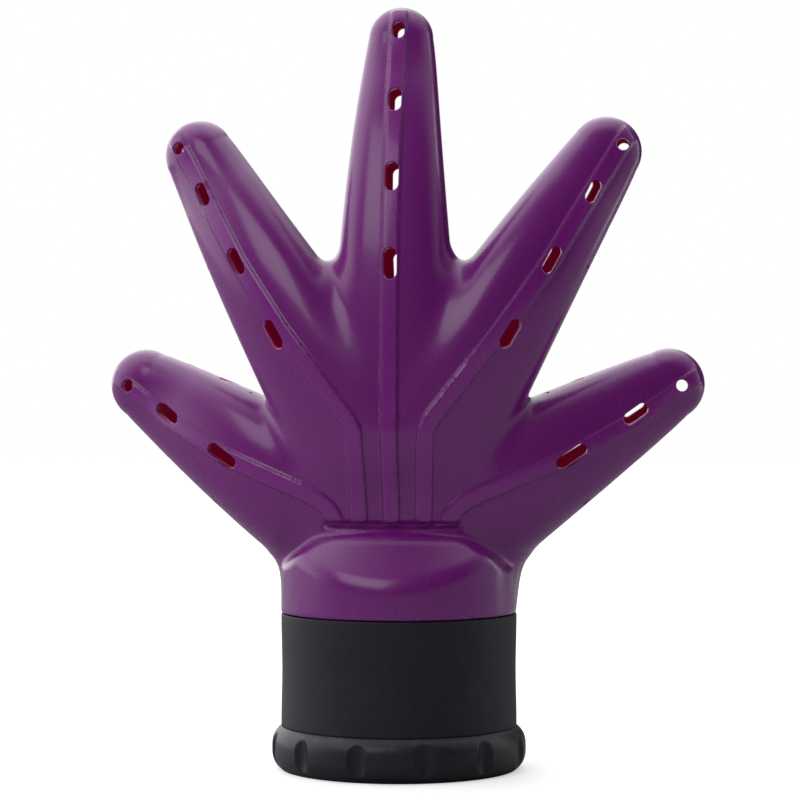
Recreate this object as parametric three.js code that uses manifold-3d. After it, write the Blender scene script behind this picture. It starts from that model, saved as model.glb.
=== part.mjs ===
// A hand-shaped hair-dryer diffuser on a universal nozzle adapter.
// Two half shells make a hollow hand with five vented fingers. The hand's spigot is clipped into a
// sleeve. Under the sleeve a scalloped ring turns, and its spiral grooves draw six claws inward
// until their rubber pads grip the dryer's nozzle.
// Millimetres, +Z up, origin at the centre of the underside, back of the hand toward -Y.

import * as THREE from "three";
import { mergeVertices } from "three/addons/utils/BufferGeometryUtils.js";
import Module from "manifold-3d";

// ---- Driving dimensions ----

const gap = 0.3; // between touching pieces
const runGap = 0.4; // between pieces that slide past each other

// Collar of the hand and the sleeve it stands in
const collarRadius = 35.3;
const collarBottom = 46.6;
const sleeveWall = 2.7;
const sleeveWaist = 0.25;
const spigotWall = 2.2;
const spigotLength = 18;
const ledgeDepth = 1.6;
const ledgeHeight = 1.8;

// Half shells
const shellWall = 2.2;
const netCell = 6.5; // spacing of the net that wraps the hand
const liningCell = 7.6; // and of the net that lines its hollow
const partingCell = 8; // and of the surface that parts it
const webBlend = 4.5;
const palmBlend = 12;
const lipBlend = 2.5;

// Wrist: the collar ends in front in a face that leans back to a rounded lip
const creaseHeight = 10; // above the bottom of the collar
const lipHeight = 25.4; // above the bottom of the collar
const lipFaceSlope = 0.67;
const lipFlat = 18; // half width of the level part of the lip
const lipFall = 0.07; // how fast the lip's top falls away beside the level part
const lipDrop = 9; // and how far it falls in all
const creaseRise = 0.01;
const creaseBlend = 1.8;
const lipFaceEnd = 12; // depth over which the leaning face runs out at the sides

// Grip ring
const ringHeight = 12.8;
const ringBulge = 2.8; // how far the ring stands out past its own edges
const ringOverhang = 2.7; // how far its widest part stands out past the sleeve
const ringWall = 1.3; // at the foot of a flute
const platform = 2.5; // plate that carries the spiral grooves
const grooveDepth = 1.2;
const fluteCount = 12;
const fluteDepth = 1.5;
const fluteWidth = 6.8;
const fluteHeight = 22;
const flutePhase = 17; // degrees

// Claws
const clawCount = 6;
const clawTravel = 4.5;
const ringTurn = 60; // degrees from open to closed
const clawTop = 24;
const clawHalfAngle = 14.5; // degrees
const clawThickness = 2;
const padThickness = 1.6;
const footHalfWidth = 5;
const footThickness = 3;
const footLength = 3.4; // behind the upright plate
const pinRadius = 0.8;
const pinInset = 1.2; // pin centre from the foot's outer end
const guideThickness = 2.4;

// Spring clips
const clipWidth = 1.2;
const clipHeight = 1.2;
const clipMouth = 8;

// Each finger runs from a root inside the palm to the centre of its round tip.
// lean: degrees from upright. roll: degrees that its crest turns outward.
// width and depth: half sizes across it. front: depth of its crest, at root and tip.
// vents: distance back from the tip's centre, length and width.
const fingers = [
  {
    name: "middle",
    tip: [0, 219.2],
    length: 114,
    lean: 0,
    roll: 0,
    width: [20.5, 9.7],
    depth: [21, 8.6],
    front: [-28.3, 0.4],
    curl: 2.8,
    vents: [
      [-1.7, 5.2, 3.6],
      [20.4, 6.8, 3.8],
      [43.9, 8.4, 3.9],
      [69.6, 9.0, 3.9],
    ],
  },
  {
    name: "index",
    tip: [61.8, 184.6],
    length: 100,
    lean: 31.6,
    roll: 25,
    width: [21.5, 10.6],
    depth: [19.5, 8.6],
    front: [-25.2, 1],
    curl: 2.5,
    vents: [
      [-4, 3.6, 3.6],
      [12.9, 7.2, 3.5],
      [36.7, 8.4, 3.5],
      [61.4, 9.0, 3.5],
    ],
  },
  {
    name: "outer",
    tip: [80.6, 114.8],
    length: 62,
    lean: 59,
    roll: 16,
    width: [21.5, 10.8],
    depth: [19, 8.6],
    front: [-17, 10.7],
    curl: 1.6,
    vents: [
      [-3.2, 3.6, 3.6],
      [13, 8.1, 3.6],
      [35.5, 10.2, 3.6],
    ],
  },
];
const ventTurn = 0.5; // share of a finger's roll that its vents turn by, except in its tip
const sideVents = [0.42, 0.6, 0.78]; // place of each edge vent along a finger
const sideVentLength = 8;
const sideVentWidth = 1.5;
const sideVentSetback = 3; // behind the parting surface

// Palm: the limb that joins the wrist to the fingers
const palmRise = [20, 74]; // its ends, above the bottom of the collar
const palmInset = 2.3; // of its root, inside the collar
const palmWidthTop = 36;
const palmDepth = [26, 17.5];
const palmFront = [-22.5, -25];

// ---- Worked-out dimensions ----

const sleeveTop = collarBottom - gap;
const sleeveInner = collarRadius - sleeveWall;
const spigotOuter = sleeveInner - gap;
const spigotInner = spigotOuter - spigotWall;
const spigotBottom = collarBottom - spigotLength;
const sleeveBottom = ringHeight + gap;
const neckOuter = collarRadius - runGap;
const ringInner = neckOuter + gap;
const ringOuter = Math.max(collarRadius + ringOverhang, ringInner + ringWall + fluteDepth);
const footLow = platform + gap;
const guideLow = footLow + footThickness + gap;
const guideTop = guideLow + guideThickness;
const neckInner = neckOuter - 1.4;
const footOuter = neckInner - runGap;
const openRadius = footOuter - footLength - clawThickness - gap - padThickness;
const closedRadius = openRadius - clawTravel;
const uprightInner = openRadius + padThickness + gap;
const uprightOuter = uprightInner + clawThickness;
const pinCircle = footOuter - pinInset;
const grooveHalfWidth = pinRadius + gap;
const boreRadius = Math.min(openRadius + 0.1, pinCircle - clawTravel - grooveHalfWidth - 0.4);
const sealInner = closedRadius - 1.6;
const sealLow = clawTop + 2 * gap + ledgeHeight;
const ringClipLow = guideTop + 2 * gap;
const collarClipLow = collarBottom - 6;

// ---- Solids ----

const wasm = await Module();
wasm.setup();

function solid(geometry) {
  geometry.deleteAttribute("normal");
  geometry.deleteAttribute("uv");
  const merged = mergeVertices(geometry, 1e-4);
  const corners = merged.index.array;
  const kept = [];
  for (let i = 0; i < corners.length; i += 3) {
    const [a, b, c] = corners.slice(i, i + 3);
    if (a !== b && b !== c && c !== a) kept.push(a, b, c);
  }
  const vertProperties = merged.getAttribute("position").array;
  const triVerts = new Uint32Array(kept);
  return new wasm.Manifold(new wasm.Mesh({ numProp: 3, vertProperties, triVerts }));
}

function geometryOf(body) {
  const mesh = body.getMesh();
  const geometry = new THREE.BufferGeometry();
  geometry.setAttribute("position", new THREE.BufferAttribute(mesh.vertProperties, 3));
  geometry.setIndex(new THREE.BufferAttribute(mesh.triVerts, 1));
  geometry.computeVertexNormals();
  return geometry;
}

// A box between two corners.
function block(low, high) {
  const size = high.map((value, axis) => value - low[axis]);
  const geometry = new THREE.BoxGeometry(...size);
  geometry.translate(...high.map((value, axis) => (value + low[axis]) / 2));
  return solid(geometry);
}

// A turned ring: its section is a closed loop of [radius, height], outer side upward.
function turned(section, segments = 40) {
  const loop = [...section, section[0]].map(([radius, height]) => new THREE.Vector2(radius, height));
  const geometry = new THREE.LatheGeometry(loop, segments);
  geometry.rotateX(Math.PI / 2);
  return solid(geometry);
}

// A plain tube.
function tube(inner, outer, low, high, segments = 40) {
  return turned([[inner, low], [outer, low], [outer, high], [inner, high]], segments);
}

// A plain upright cylinder.
function post(radius, low, high, segments = 40) {
  const geometry = new THREE.CylinderGeometry(radius, radius, high - low, segments);
  geometry.rotateX(Math.PI / 2);
  geometry.translate(0, 0, (low + high) / 2);
  return solid(geometry);
}

// A shape in XY, raised from low to high.
function raised(shape, low, high, curveSegments = 4) {
  const options = { depth: high - low, bevelEnabled: false, curveSegments };
  const geometry = new THREE.ExtrudeGeometry(shape, options);
  geometry.translate(0, 0, low);
  return solid(geometry);
}

// A curved plate around the Z axis, centred on +X.
function sector(inner, outer, halfAngle, low, high) {
  const half = THREE.MathUtils.degToRad(halfAngle);
  const shape = new THREE.Shape();
  shape.absarc(0, 0, outer, -half, half, false);
  shape.absarc(0, 0, inner, half, -half, true);
  shape.closePath();
  return raised(shape, low, high);
}

// ---- Outside of the hand, as a field that is below zero inside ----

function smallerOf(a, b, blend) {
  const share = Math.max(blend - Math.abs(a - b), 0) / blend;
  return Math.min(a, b) - (share * share * blend) / 4;
}

function largerOf(a, b, blend) {
  return -smallerOf(-a, -b, blend);
}

const mix = ([start, end], share) => start + (end - start) * share;

// Limbs: the palm, then each finger on its side of the hand.
function limbOf(finger, side) {
  const lean = THREE.MathUtils.degToRad(finger.lean);
  return {
    ...finger,
    side,
    along: [side * Math.sin(lean), Math.cos(lean)],
    across: [Math.cos(lean), -side * Math.sin(lean)],
    tip: [side * finger.tip[0], finger.tip[1]],
    roll: side * THREE.MathUtils.degToRad(finger.roll),
  };
}

const palm = limbOf(
  {
    name: "palm",
    tip: [0, collarBottom + palmRise[1]],
    length: palmRise[1] - palmRise[0],
    lean: 0,
    roll: 0,
    width: [collarRadius - palmInset, palmWidthTop],
    depth: palmDepth,
    front: palmFront,
    curl: 1,
  },
  1,
);
const limbs = [palm];
for (const finger of fingers)
  for (const side of finger.tip[0] === 0 ? [1] : [-1, 1]) limbs.push(limbOf(finger, side));

// Where a point lies along a limb and across it, with the limb's sizes there.
function placeOn(limb, x, z) {
  const back = (limb.tip[0] - x) * limb.along[0] + (limb.tip[1] - z) * limb.along[1];
  const share = THREE.MathUtils.clamp(1 - back / limb.length, 0, 1);
  const beyond = back - (1 - share) * limb.length;
  const across = (x - limb.tip[0]) * limb.across[0] + (z - limb.tip[1]) * limb.across[1];
  const width = mix([limb.width[1], limb.width[0]], (1 - share) ** 0.85);
  const depth = mix([limb.depth[1], limb.depth[0]], (1 - share) ** 1.5);
  const crest = mix(limb.front, share ** limb.curl);
  return { beyond, across, width, depth, middle: crest + depth * Math.cos(limb.roll) };
}

const sectionPower = 2.4;

function limbField(limb, x, y, z) {
  const { beyond, across, width, depth, middle } = placeOn(limb, x, z);
  const cos = Math.cos(limb.roll);
  const sin = Math.sin(limb.roll);
  const aside = Math.hypot(across * cos + (y - middle) * sin, beyond);
  const deep = Math.abs((y - middle) * cos - across * sin);
  const a = aside / width;
  const b = deep / depth;
  const size = Math.max((a ** sectionPower + b ** sectionPower) ** (1 / sectionPower), 1e-6);
  const slope = Math.hypot(
    (a / size) ** (sectionPower - 1) / width,
    (b / size) ** (sectionPower - 1) / depth,
  );
  return (size - 1) / slope;
}

function wristField(x, y, z) {
  const round = Math.hypot(x, y) - collarRadius;
  const crease = collarBottom + creaseHeight + creaseRise * x * x;
  const lean = lipFaceSlope * THREE.MathUtils.smoothstep(-y, 0, lipFaceEnd);
  const leaning = (round + lean * (z - crease)) / Math.hypot(1, lean);
  const fall = smallerOf(lipFall * Math.max(Math.abs(x) - lipFlat, 0) ** 2, lipDrop, 4);
  const top = z - (collarBottom + lipHeight - fall);
  const bottom = collarBottom - 2 * netCell - z;
  return Math.max(largerOf(largerOf(round, leaning, creaseBlend), top, 3), bottom);
}

function handField(x, y, z) {
  let field = limbField(limbs[0], x, y, z);
  for (const limb of limbs.slice(1)) field = smallerOf(field, limbField(limb, x, y, z), webBlend);
  const toBack = THREE.MathUtils.smoothstep(y, -15, 10);
  return smallerOf(field, wristField(x, y, z), mix([lipBlend, palmBlend], toBack));
}

// Depth of the parting surface between the two half shells: the middle of whatever limb is nearest.
function partingDepth(x, z) {
  let total = 0;
  let weights = 0;
  for (const limb of limbs) {
    const { beyond, across, width, middle } = placeOn(limb, x, z);
    const weight = Math.exp(-(Math.hypot(across, beyond) - width) / 7);
    total += weight * middle;
    weights += weight;
  }
  const wristWeight = Math.exp((collarBottom + lipHeight - z) / 4);
  return total / (weights + wristWeight);
}

// ---- A net of quads drawn tight around a field's zero level ----

function slopeAt(field, [x, y, z]) {
  const step = 0.05;
  return new THREE.Vector3(
    field(x + step, y, z) - field(x - step, y, z),
    field(x, y + step, z) - field(x, y - step, z),
    field(x, y, z + step) - field(x, y, z - step),
  ).divideScalar(2 * step);
}

function pulledOn(field, point) {
  const place = new THREE.Vector3(...point);
  for (let round = 0; round < 3; round++) {
    const slope = slopeAt(field, place.toArray());
    place.addScaledVector(slope, -field(...place.toArray()) / Math.max(slope.lengthSq(), 0.2));
  }
  return place;
}

const cubeEdges = [];
for (let corner = 0; corner < 8; corner++)
  for (const bit of [1, 2, 4]) if (!(corner & bit)) cubeEdges.push([corner, corner | bit]);

function netAround(field, low, high, cell) {
  const counts = high.map((value, axis) => Math.ceil((value - low[axis]) / cell));
  const starts = high.map((value, axis) => (value + low[axis] - counts[axis] * cell) / 2);
  const [nx, ny, nz] = counts.map((count) => count + 1);
  const at = (i, j, k) => (i * ny + j) * nz + k;
  const node = (i, j, k) => [i, j, k].map((index, axis) => starts[axis] + index * cell);
  const values = new Float64Array(nx * ny * nz);
  for (let i = 0; i < nx; i++)
    for (let j = 0; j < ny; j++)
      for (let k = 0; k < nz; k++) values[at(i, j, k)] = field(...node(i, j, k));

  const positions = [];
  const vertexOf = new Map();
  const vertexIn = (i, j, k) => {
    const key = at(i, j, k);
    if (vertexOf.has(key)) return vertexOf.get(key);
    const corner = (bits) => [i + (bits & 1), j + ((bits >> 1) & 1), k + (bits >> 2)];
    const sum = new THREE.Vector3();
    let crossings = 0;
    for (const [from, to] of cubeEdges) {
      const a = values[at(...corner(from))];
      const b = values[at(...corner(to))];
      if (a < 0 === b < 0) continue;
      const start = new THREE.Vector3(...node(...corner(from)));
      sum.add(start.lerp(new THREE.Vector3(...node(...corner(to))), a / (a - b)));
      crossings++;
    }
    const place = pulledOn(field, sum.divideScalar(crossings).toArray());
    vertexOf.set(key, positions.length / 3);
    positions.push(...place.toArray());
    return vertexOf.get(key);
  };

  const triangles = [];
  const across = [[0, 1, 0], [0, 0, 1], [1, 0, 0]];
  const distance = (a, b) =>
    Math.hypot(...[0, 1, 2].map((axis) => positions[3 * a + axis] - positions[3 * b + axis]));
  for (let i = 1; i < nx - 1; i++)
    for (let j = 1; j < ny - 1; j++)
      for (let k = 1; k < nz - 1; k++)
        for (let axis = 0; axis < 3; axis++) {
          const step = [0, 0, 0];
          step[axis] = 1;
          const here = values[at(i, j, k)];
          const there = values[at(i + step[0], j + step[1], k + step[2])];
          if (here < 0 === there < 0) continue;
          const u = across[axis];
          const v = across[(axis + 1) % 3];
          const beside = (p, q) => [i, j, k].map((index, n) => index - p * u[n] - q * v[n]);
          const ring = [beside(1, 1), beside(0, 1), beside(0, 0), beside(1, 0)];
          const quad = ring.map((place) => vertexIn(...place));
          if (here > 0) quad.reverse();
          const [a, b, c, d] = quad;
          if (distance(a, c) < distance(b, d)) triangles.push(a, b, c, a, c, d);
          else triangles.push(a, b, d, b, c, d);
        }
  const geometry = new THREE.BufferGeometry();
  geometry.setAttribute("position", new THREE.Float32BufferAttribute(positions, 3));
  geometry.setIndex(triangles);
  return solid(geometry);
}

// ---- Half shells ----

function handExtent() {
  const reach = limbs.map((limb) => [
    Math.abs(limb.tip[0]) + limb.width[1],
    limb.tip[1] + limb.width[1],
  ]);
  const margin = 2.5 * netCell;
  const wide = Math.max(collarRadius, ...reach.map(([x]) => x)) + margin;
  const high = Math.max(...reach.map(([, z]) => z)) + margin;
  return { wide, high, deep: collarRadius + 2 * margin };
}

const extent = handExtent();

// Everything in front of the parting surface, which is moved back by an offset.
function frontOfParting(offset) {
  const size = [2 * extent.wide, 200, extent.high - spigotBottom + 20];
  const across = Math.round(size[0] / partingCell);
  const up = Math.round(size[2] / partingCell);
  const geometry = new THREE.BoxGeometry(...size, across, 1, up);
  geometry.translate(0, -size[1] / 2, (extent.high + spigotBottom) / 2);
  const places = geometry.getAttribute("position");
  for (let i = 0; i < places.count; i++)
    if (Math.abs(places.getY(i)) < 1)
      places.setY(i, partingDepth(places.getX(i), Math.max(places.getZ(i), collarBottom)) + offset);
  return solid(geometry);
}

// A long bar with a rounded section, through both shells from front to back.
function ventCutter(limb, [back, length, width]) {
  const shape = new THREE.Shape();
  const half = Math.max((length - width) / 2, 0.02);
  shape.absarc(0, half, width / 2, 0, Math.PI, false);
  shape.absarc(0, -half, width / 2, Math.PI, 2 * Math.PI, false);
  shape.closePath();
  const depth = 4 * collarRadius;
  const geometry = new THREE.ExtrudeGeometry(shape, { depth, bevelEnabled: false, curveSegments: 2 });
  geometry.translate(0, 0, -depth / 2);
  geometry.rotateX(Math.PI / 2);
  if (back > 0) geometry.rotateZ(ventTurn * limb.roll);
  geometry.rotateY(Math.atan2(limb.along[0], limb.along[1]));
  const axis = limb.tip.map((value, i) => value - back * limb.along[i]);
  const { depth: halfDepth, middle } = placeOn(limb, ...axis);
  const offset = halfDepth * Math.sin(limb.roll);
  const crest = middle - halfDepth * Math.cos(limb.roll);
  geometry.translate(axis[0] + offset * limb.across[0], crest, axis[1] + offset * limb.across[1]);
  return solid(geometry);
}

// A thin box through one edge of a finger, just behind the parting surface.
function sideVentCutter(limb, share, edge) {
  const axis = limb.tip.map((value, i) => value - (1 - share) * limb.length * limb.along[i]);
  const { width } = placeOn(limb, ...axis);
  const geometry = new THREE.BoxGeometry(5 * shellWall, sideVentWidth, sideVentLength);
  geometry.rotateY(Math.atan2(limb.along[0], limb.along[1]));
  const [x, z] = axis.map((value, i) => value + edge * width * limb.across[i]);
  geometry.translate(x, partingDepth(x, z) + sideVentSetback, z);
  return solid(geometry);
}

function handShells() {
  const reach = [extent.wide, extent.deep, extent.high];
  const low = [-reach[0], -reach[1], collarBottom - 5 * netCell];
  const outside = netAround(handField, low, reach, netCell);
  const hollow = (x, y, z) => handField(x, y, z) + shellWall;
  const inside = netAround(hollow, low, reach, liningCell);
  const below = -2 * collarRadius;
  const slab = (top) => block([-reach[0], -reach[1], below], [reach[0], reach[1], top]);
  let hand = outside.subtract(slab(collarBottom));
  hand = hand.add(post(spigotOuter, spigotBottom, collarBottom + 2));
  hand = hand.subtract(inside.subtract(slab(collarBottom + 3)));
  hand = hand.subtract(post(spigotInner, spigotBottom - 1, collarBottom + 4));
  const grooveInner = spigotOuter - clipWidth / 2 - gap;
  hand = hand.subtract(
    tube(grooveInner, spigotOuter + 1, collarClipLow - gap, collarClipLow + clipHeight + gap),
  );
  const fingerLimbs = limbs.slice(1);
  for (const limb of fingerLimbs)
    for (const vent of limb.vents) hand = hand.subtract(ventCutter(limb, vent));
  const dorsal = hand.intersect(frontOfParting(-gap / 2));
  let palmar = hand.subtract(frontOfParting(gap / 2));
  for (const limb of fingerLimbs)
    for (const share of sideVents)
      for (const edge of [-1, 1]) palmar = palmar.subtract(sideVentCutter(limb, share, edge));
  return { dorsal, palmar };
}

// ---- Adapter ----

// The four corners of a groove for a clip, cut to a depth into a wall that is followed upward.
function clipGroove(wall, depth, low) {
  const bottom = low - gap;
  const top = low + clipHeight + gap;
  return [[wall, bottom], [wall + depth, bottom], [wall + depth, top], [wall, top]];
}

function sleeve() {
  const mid = (sleeveTop + sleeveBottom) / 2;
  const outer = collarRadius - 0.05;
  const groove = clipWidth / 2 + gap;
  return turned([
    [neckInner, footLow + gap],
    [neckOuter, footLow + gap],
    ...clipGroove(neckOuter, -groove, ringClipLow),
    [neckOuter, sleeveBottom],
    [outer, sleeveBottom],
    [outer - sleeveWaist, mid],
    [outer, sleeveTop],
    [sleeveInner, sleeveTop],
    ...clipGroove(sleeveInner, groove, collarClipLow).reverse(),
    [sleeveInner, sealLow - gap],
    [sleeveInner - ledgeDepth, sealLow - gap],
    [sleeveInner - ledgeDepth, sealLow - gap - ledgeHeight],
    [sleeveInner, sealLow - gap - ledgeHeight],
    [sleeveInner, guideTop + gap],
    [neckInner, guideTop + gap],
  ]);
}

// A spring clip half in one groove and half in the other.
function clip(radius, low) {
  const ring = tube(radius - clipWidth / 2, radius + clipWidth / 2, low, low + clipHeight);
  return ring.subtract(block([0, -clipMouth / 2, low - 1], [2 * radius, clipMouth / 2, low + 2 * clipHeight]));
}

function ringOutline(height) {
  return ringOuter - ringBulge * Math.abs((2 * height) / ringHeight - 1) ** 3;
}

function spiralGroove(angle) {
  const steps = 6;
  const start = THREE.MathUtils.degToRad(angle);
  const turn = THREE.MathUtils.degToRad(ringTurn);
  const shape = new THREE.Shape();
  const edge = (offset) =>
    Array.from({ length: steps + 1 }, (_, step) => {
      const share = step / steps;
      const radius = pinCircle - clawTravel * share + offset;
      const along = start - turn * share;
      return [radius * Math.cos(along), radius * Math.sin(along)];
    });
  const end = (share) => {
    const radius = pinCircle - clawTravel * share;
    const along = start - turn * share;
    return [radius * Math.cos(along), radius * Math.sin(along), along];
  };
  const [startX, startY, startAngle] = end(0);
  const [endX, endY, endAngle] = end(1);
  const inner = edge(-grooveHalfWidth);
  const outer = edge(grooveHalfWidth).reverse();
  shape.moveTo(...inner[0]);
  for (const point of inner.slice(1)) shape.lineTo(...point);
  shape.absarc(endX, endY, grooveHalfWidth, endAngle + Math.PI, endAngle + 2 * Math.PI, false);
  for (const point of outer) shape.lineTo(...point);
  shape.absarc(startX, startY, grooveHalfWidth, startAngle, startAngle + Math.PI, false);
  return raised(shape, platform - grooveDepth, platform + 1, 3);
}

function gripRing() {
  const rows = 6;
  const outline = Array.from({ length: rows + 1 }, (_, row) => {
    const height = (ringHeight * row) / rows;
    return [ringOutline(height), height];
  });
  let ring = turned([
    [boreRadius, 0],
    ...outline,
    [ringInner, ringHeight],
    ...clipGroove(ringInner, clipWidth / 2, ringClipLow).reverse(),
    [ringInner, platform],
    [boreRadius, platform],
  ]);
  for (let claw = 0; claw < clawCount; claw++)
    ring = ring.subtract(spiralGroove((claw * 360) / clawCount));
  for (let flute = 0; flute < fluteCount; flute++) {
    const cutter = new THREE.SphereGeometry(1, 8, 5);
    cutter.scale(2 * fluteDepth, fluteWidth / 2, fluteHeight / 2);
    cutter.translate(ringOuter + fluteDepth, 0, ringHeight / 2);
    cutter.rotateZ(THREE.MathUtils.degToRad(flutePhase + (flute * 360) / fluteCount));
    ring = ring.subtract(solid(cutter));
  }
  return ring;
}

function guidePlate() {
  let plate = tube(boreRadius, neckInner - gap, footLow + gap, guideTop);
  const uprightHalfWidth = uprightOuter * Math.sin(THREE.MathUtils.degToRad(clawHalfAngle));
  for (let claw = 0; claw < clawCount; claw++) {
    const angle = (claw * 360) / clawCount;
    const half = uprightHalfWidth + runGap;
    const slot = block([boreRadius / 2, -half, 0], [uprightOuter + runGap, half, guideTop + 1]);
    const wide = footHalfWidth + runGap;
    const channel = block([boreRadius / 2, -wide, 0], [collarRadius, wide, guideLow]);
    plate = plate.subtract(slot.add(channel).rotate([0, 0, angle]));
  }
  return plate;
}

function claw() {
  const upright = sector(uprightInner, uprightOuter, clawHalfAngle, footLow, clawTop);
  const foot = block(
    [uprightInner + clawThickness / 2, -footHalfWidth, footLow],
    [footOuter, footHalfWidth, footLow + footThickness],
  );
  const pin = new THREE.CylinderGeometry(pinRadius, pinRadius, grooveDepth, 12);
  pin.rotateX(Math.PI / 2);
  pin.translate(pinCircle, 0, footLow - grooveDepth / 2 + gap);
  return upright.add(foot.intersect(post(footOuter, 0, clawTop))).add(solid(pin));
}

// ---- The assembly ----

const diffuser = new THREE.Group();

function addPiece(name, body, color, roughness, metalness, angle = 0) {
  const material = new THREE.MeshStandardMaterial({ color, roughness, metalness });
  const mesh = new THREE.Mesh(geometryOf(body), material);
  mesh.name = name;
  mesh.rotation.z = THREE.MathUtils.degToRad(angle);
  diffuser.add(mesh);
}

const purple = 0x552058;
const black = 0x1c1c1f;
const darkGrey = 0x2b2b2e;
const steel = 0xb4b6ba;

const { dorsal, palmar } = handShells();
addPiece("dorsal_shell", dorsal, purple, 0.25, 0);
addPiece("palm_shell", palmar, purple, 0.25, 0);
addPiece("adapter_sleeve", sleeve(), black, 0.65, 0);
addPiece("collar_clip", clip(sleeveInner - gap / 2, collarClipLow), steel, 0.35, 1);
addPiece("nozzle_seal", tube(sealInner, spigotOuter, sealLow, spigotBottom - gap), black, 0.8, 0);
addPiece("guide_plate", guidePlate(), darkGrey, 0.5, 0);
addPiece("ring_clip", clip(neckOuter, ringClipLow), steel, 0.35, 1, 90);
addPiece("grip_ring", gripRing(), black, 0.6, 0);

const clawBody = claw();
const padBody = sector(openRadius, openRadius + padThickness, clawHalfAngle - 1, footLow + 1, clawTop - 1);
for (let index = 0; index < clawCount; index++) {
  const angle = (index * 360) / clawCount;
  addPiece("claw_" + (index + 1), clawBody, darkGrey, 0.45, 0, angle);
  addPiece("claw_pad_" + (index + 1), padBody, black, 0.85, 0, angle);
}

export default diffuser;
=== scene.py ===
import math

import bmesh
import bpy
import numpy as np
from mathutils import Matrix, Vector


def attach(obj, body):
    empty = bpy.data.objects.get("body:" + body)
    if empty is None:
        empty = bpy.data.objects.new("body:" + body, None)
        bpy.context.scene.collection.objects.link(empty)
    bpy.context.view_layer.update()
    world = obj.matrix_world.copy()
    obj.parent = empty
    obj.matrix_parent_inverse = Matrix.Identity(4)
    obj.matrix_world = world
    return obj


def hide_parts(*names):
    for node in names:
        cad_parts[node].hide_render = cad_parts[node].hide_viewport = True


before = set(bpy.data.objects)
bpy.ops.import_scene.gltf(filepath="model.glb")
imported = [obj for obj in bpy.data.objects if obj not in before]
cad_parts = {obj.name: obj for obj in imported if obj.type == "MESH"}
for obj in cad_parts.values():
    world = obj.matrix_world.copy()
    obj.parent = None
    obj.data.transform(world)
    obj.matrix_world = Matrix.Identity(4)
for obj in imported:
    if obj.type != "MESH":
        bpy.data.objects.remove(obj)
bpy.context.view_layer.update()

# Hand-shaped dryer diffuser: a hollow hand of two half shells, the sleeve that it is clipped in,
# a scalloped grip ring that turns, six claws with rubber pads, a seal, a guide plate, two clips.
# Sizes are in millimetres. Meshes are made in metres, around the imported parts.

millimetre = 0.001

# camera: level, a little to the right of the back of the hand
cameraView = {
    "azimuth": 5.75,
    "distance": 765,
    "height": 110,
    "lens": 114.75,
    "shiftX": 0.00125,
}


def addCamera(view):
    turn = math.radians(view["azimuth"])
    data = bpy.data.cameras.new("camera")
    data.lens = view["lens"]
    data.sensor_width = 36
    data.shift_x = view["shiftX"]
    camera = bpy.data.objects.new("camera", data)
    away = view["distance"] * millimetre
    camera.location = (math.sin(turn) * away, -math.cos(turn) * away, view["height"] * millimetre)
    camera.rotation_euler = (math.pi / 2, 0, turn)
    bpy.context.scene.collection.objects.link(camera)
    bpy.context.scene.camera = camera


addCamera(cameraView)


# Node trees

def put(tree, kind, feeds=None, **settings):
    made = tree.nodes.new(kind)
    for key, value in settings.items():
        setattr(made, key, value)
    for key, value in (feeds or {}).items():
        if isinstance(value, bpy.types.NodeSocket):
            tree.links.new(value, made.inputs[key])
        else:
            made.inputs[key].default_value = value
    return made


def maths(tree, operation, *values):
    return put(tree, "ShaderNodeMath", dict(enumerate(values)), operation=operation).outputs[0]


def vectorMaths(tree, operation, *values):
    made = put(tree, "ShaderNodeVectorMath", dict(enumerate(values)), operation=operation)
    return made.outputs["Value"] if operation in ("LENGTH", "DOT_PRODUCT") else made.outputs[0]


def scaled(tree, vector, factor):
    feeds = {"Vector": vector, "Scale": factor}
    return put(tree, "ShaderNodeVectorMath", feeds, operation="SCALE").outputs[0]


def ramped(tree, value, low, high, bottom=0.0, top=1.0, smooth=True):
    feeds = {"Value": value, "From Min": low, "From Max": high, "To Min": bottom, "To Max": top}
    kind = "SMOOTHSTEP" if smooth else "LINEAR"
    return put(tree, "ShaderNodeMapRange", feeds, interpolation_type=kind).outputs[0]


socketKinds = {
    "geometry": "NodeSocketGeometry",
    "number": "NodeSocketFloat",
    "count": "NodeSocketInt",
    "object": "NodeSocketObject",
    "material": "NodeSocketMaterial",
    "colour": "NodeSocketColor",
    "vector": "NodeSocketVector",
}


def newTree(name, kind, takes, gives):
    tree = bpy.data.node_groups.new(name, kind)
    for label, socket in takes.items():
        tree.interface.new_socket(label, in_out="INPUT", socket_type=socketKinds[socket])
    for label, socket in gives.items():
        tree.interface.new_socket(label, in_out="OUTPUT", socket_type=socketKinds[socket])
    return tree, tree.nodes.new("NodeGroupInput").outputs, tree.nodes.new("NodeGroupOutput")


def newGeometryTree(name, takes):
    takes = {"Geometry": "geometry", **takes, "Material": "material"}
    return newTree(name, "GeometryNodeTree", takes, {"Geometry": "geometry"})


def endTree(tree, geometry, taken, given):
    real = put(tree, "GeometryNodeRealizeInstances", {"Geometry": geometry}).outputs[0]
    feeds = {"Geometry": real, "Material": taken["Material"]}
    painted = put(tree, "GeometryNodeSetMaterial", feeds).outputs[0]
    tree.links.new(painted, given.inputs[0])


def namedValue(tree, name, kind="FLOAT"):
    made = put(tree, "GeometryNodeInputNamedAttribute", {"Name": name}, data_type=kind)
    return made.outputs["Attribute"]


# How far a point is from the upright axis.
def radiusOf(tree, x, y):
    squares = maths(tree, "ADD", maths(tree, "MULTIPLY", x, x), maths(tree, "MULTIPLY", y, y))
    return maths(tree, "SQRT", squares)


# Materials

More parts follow.
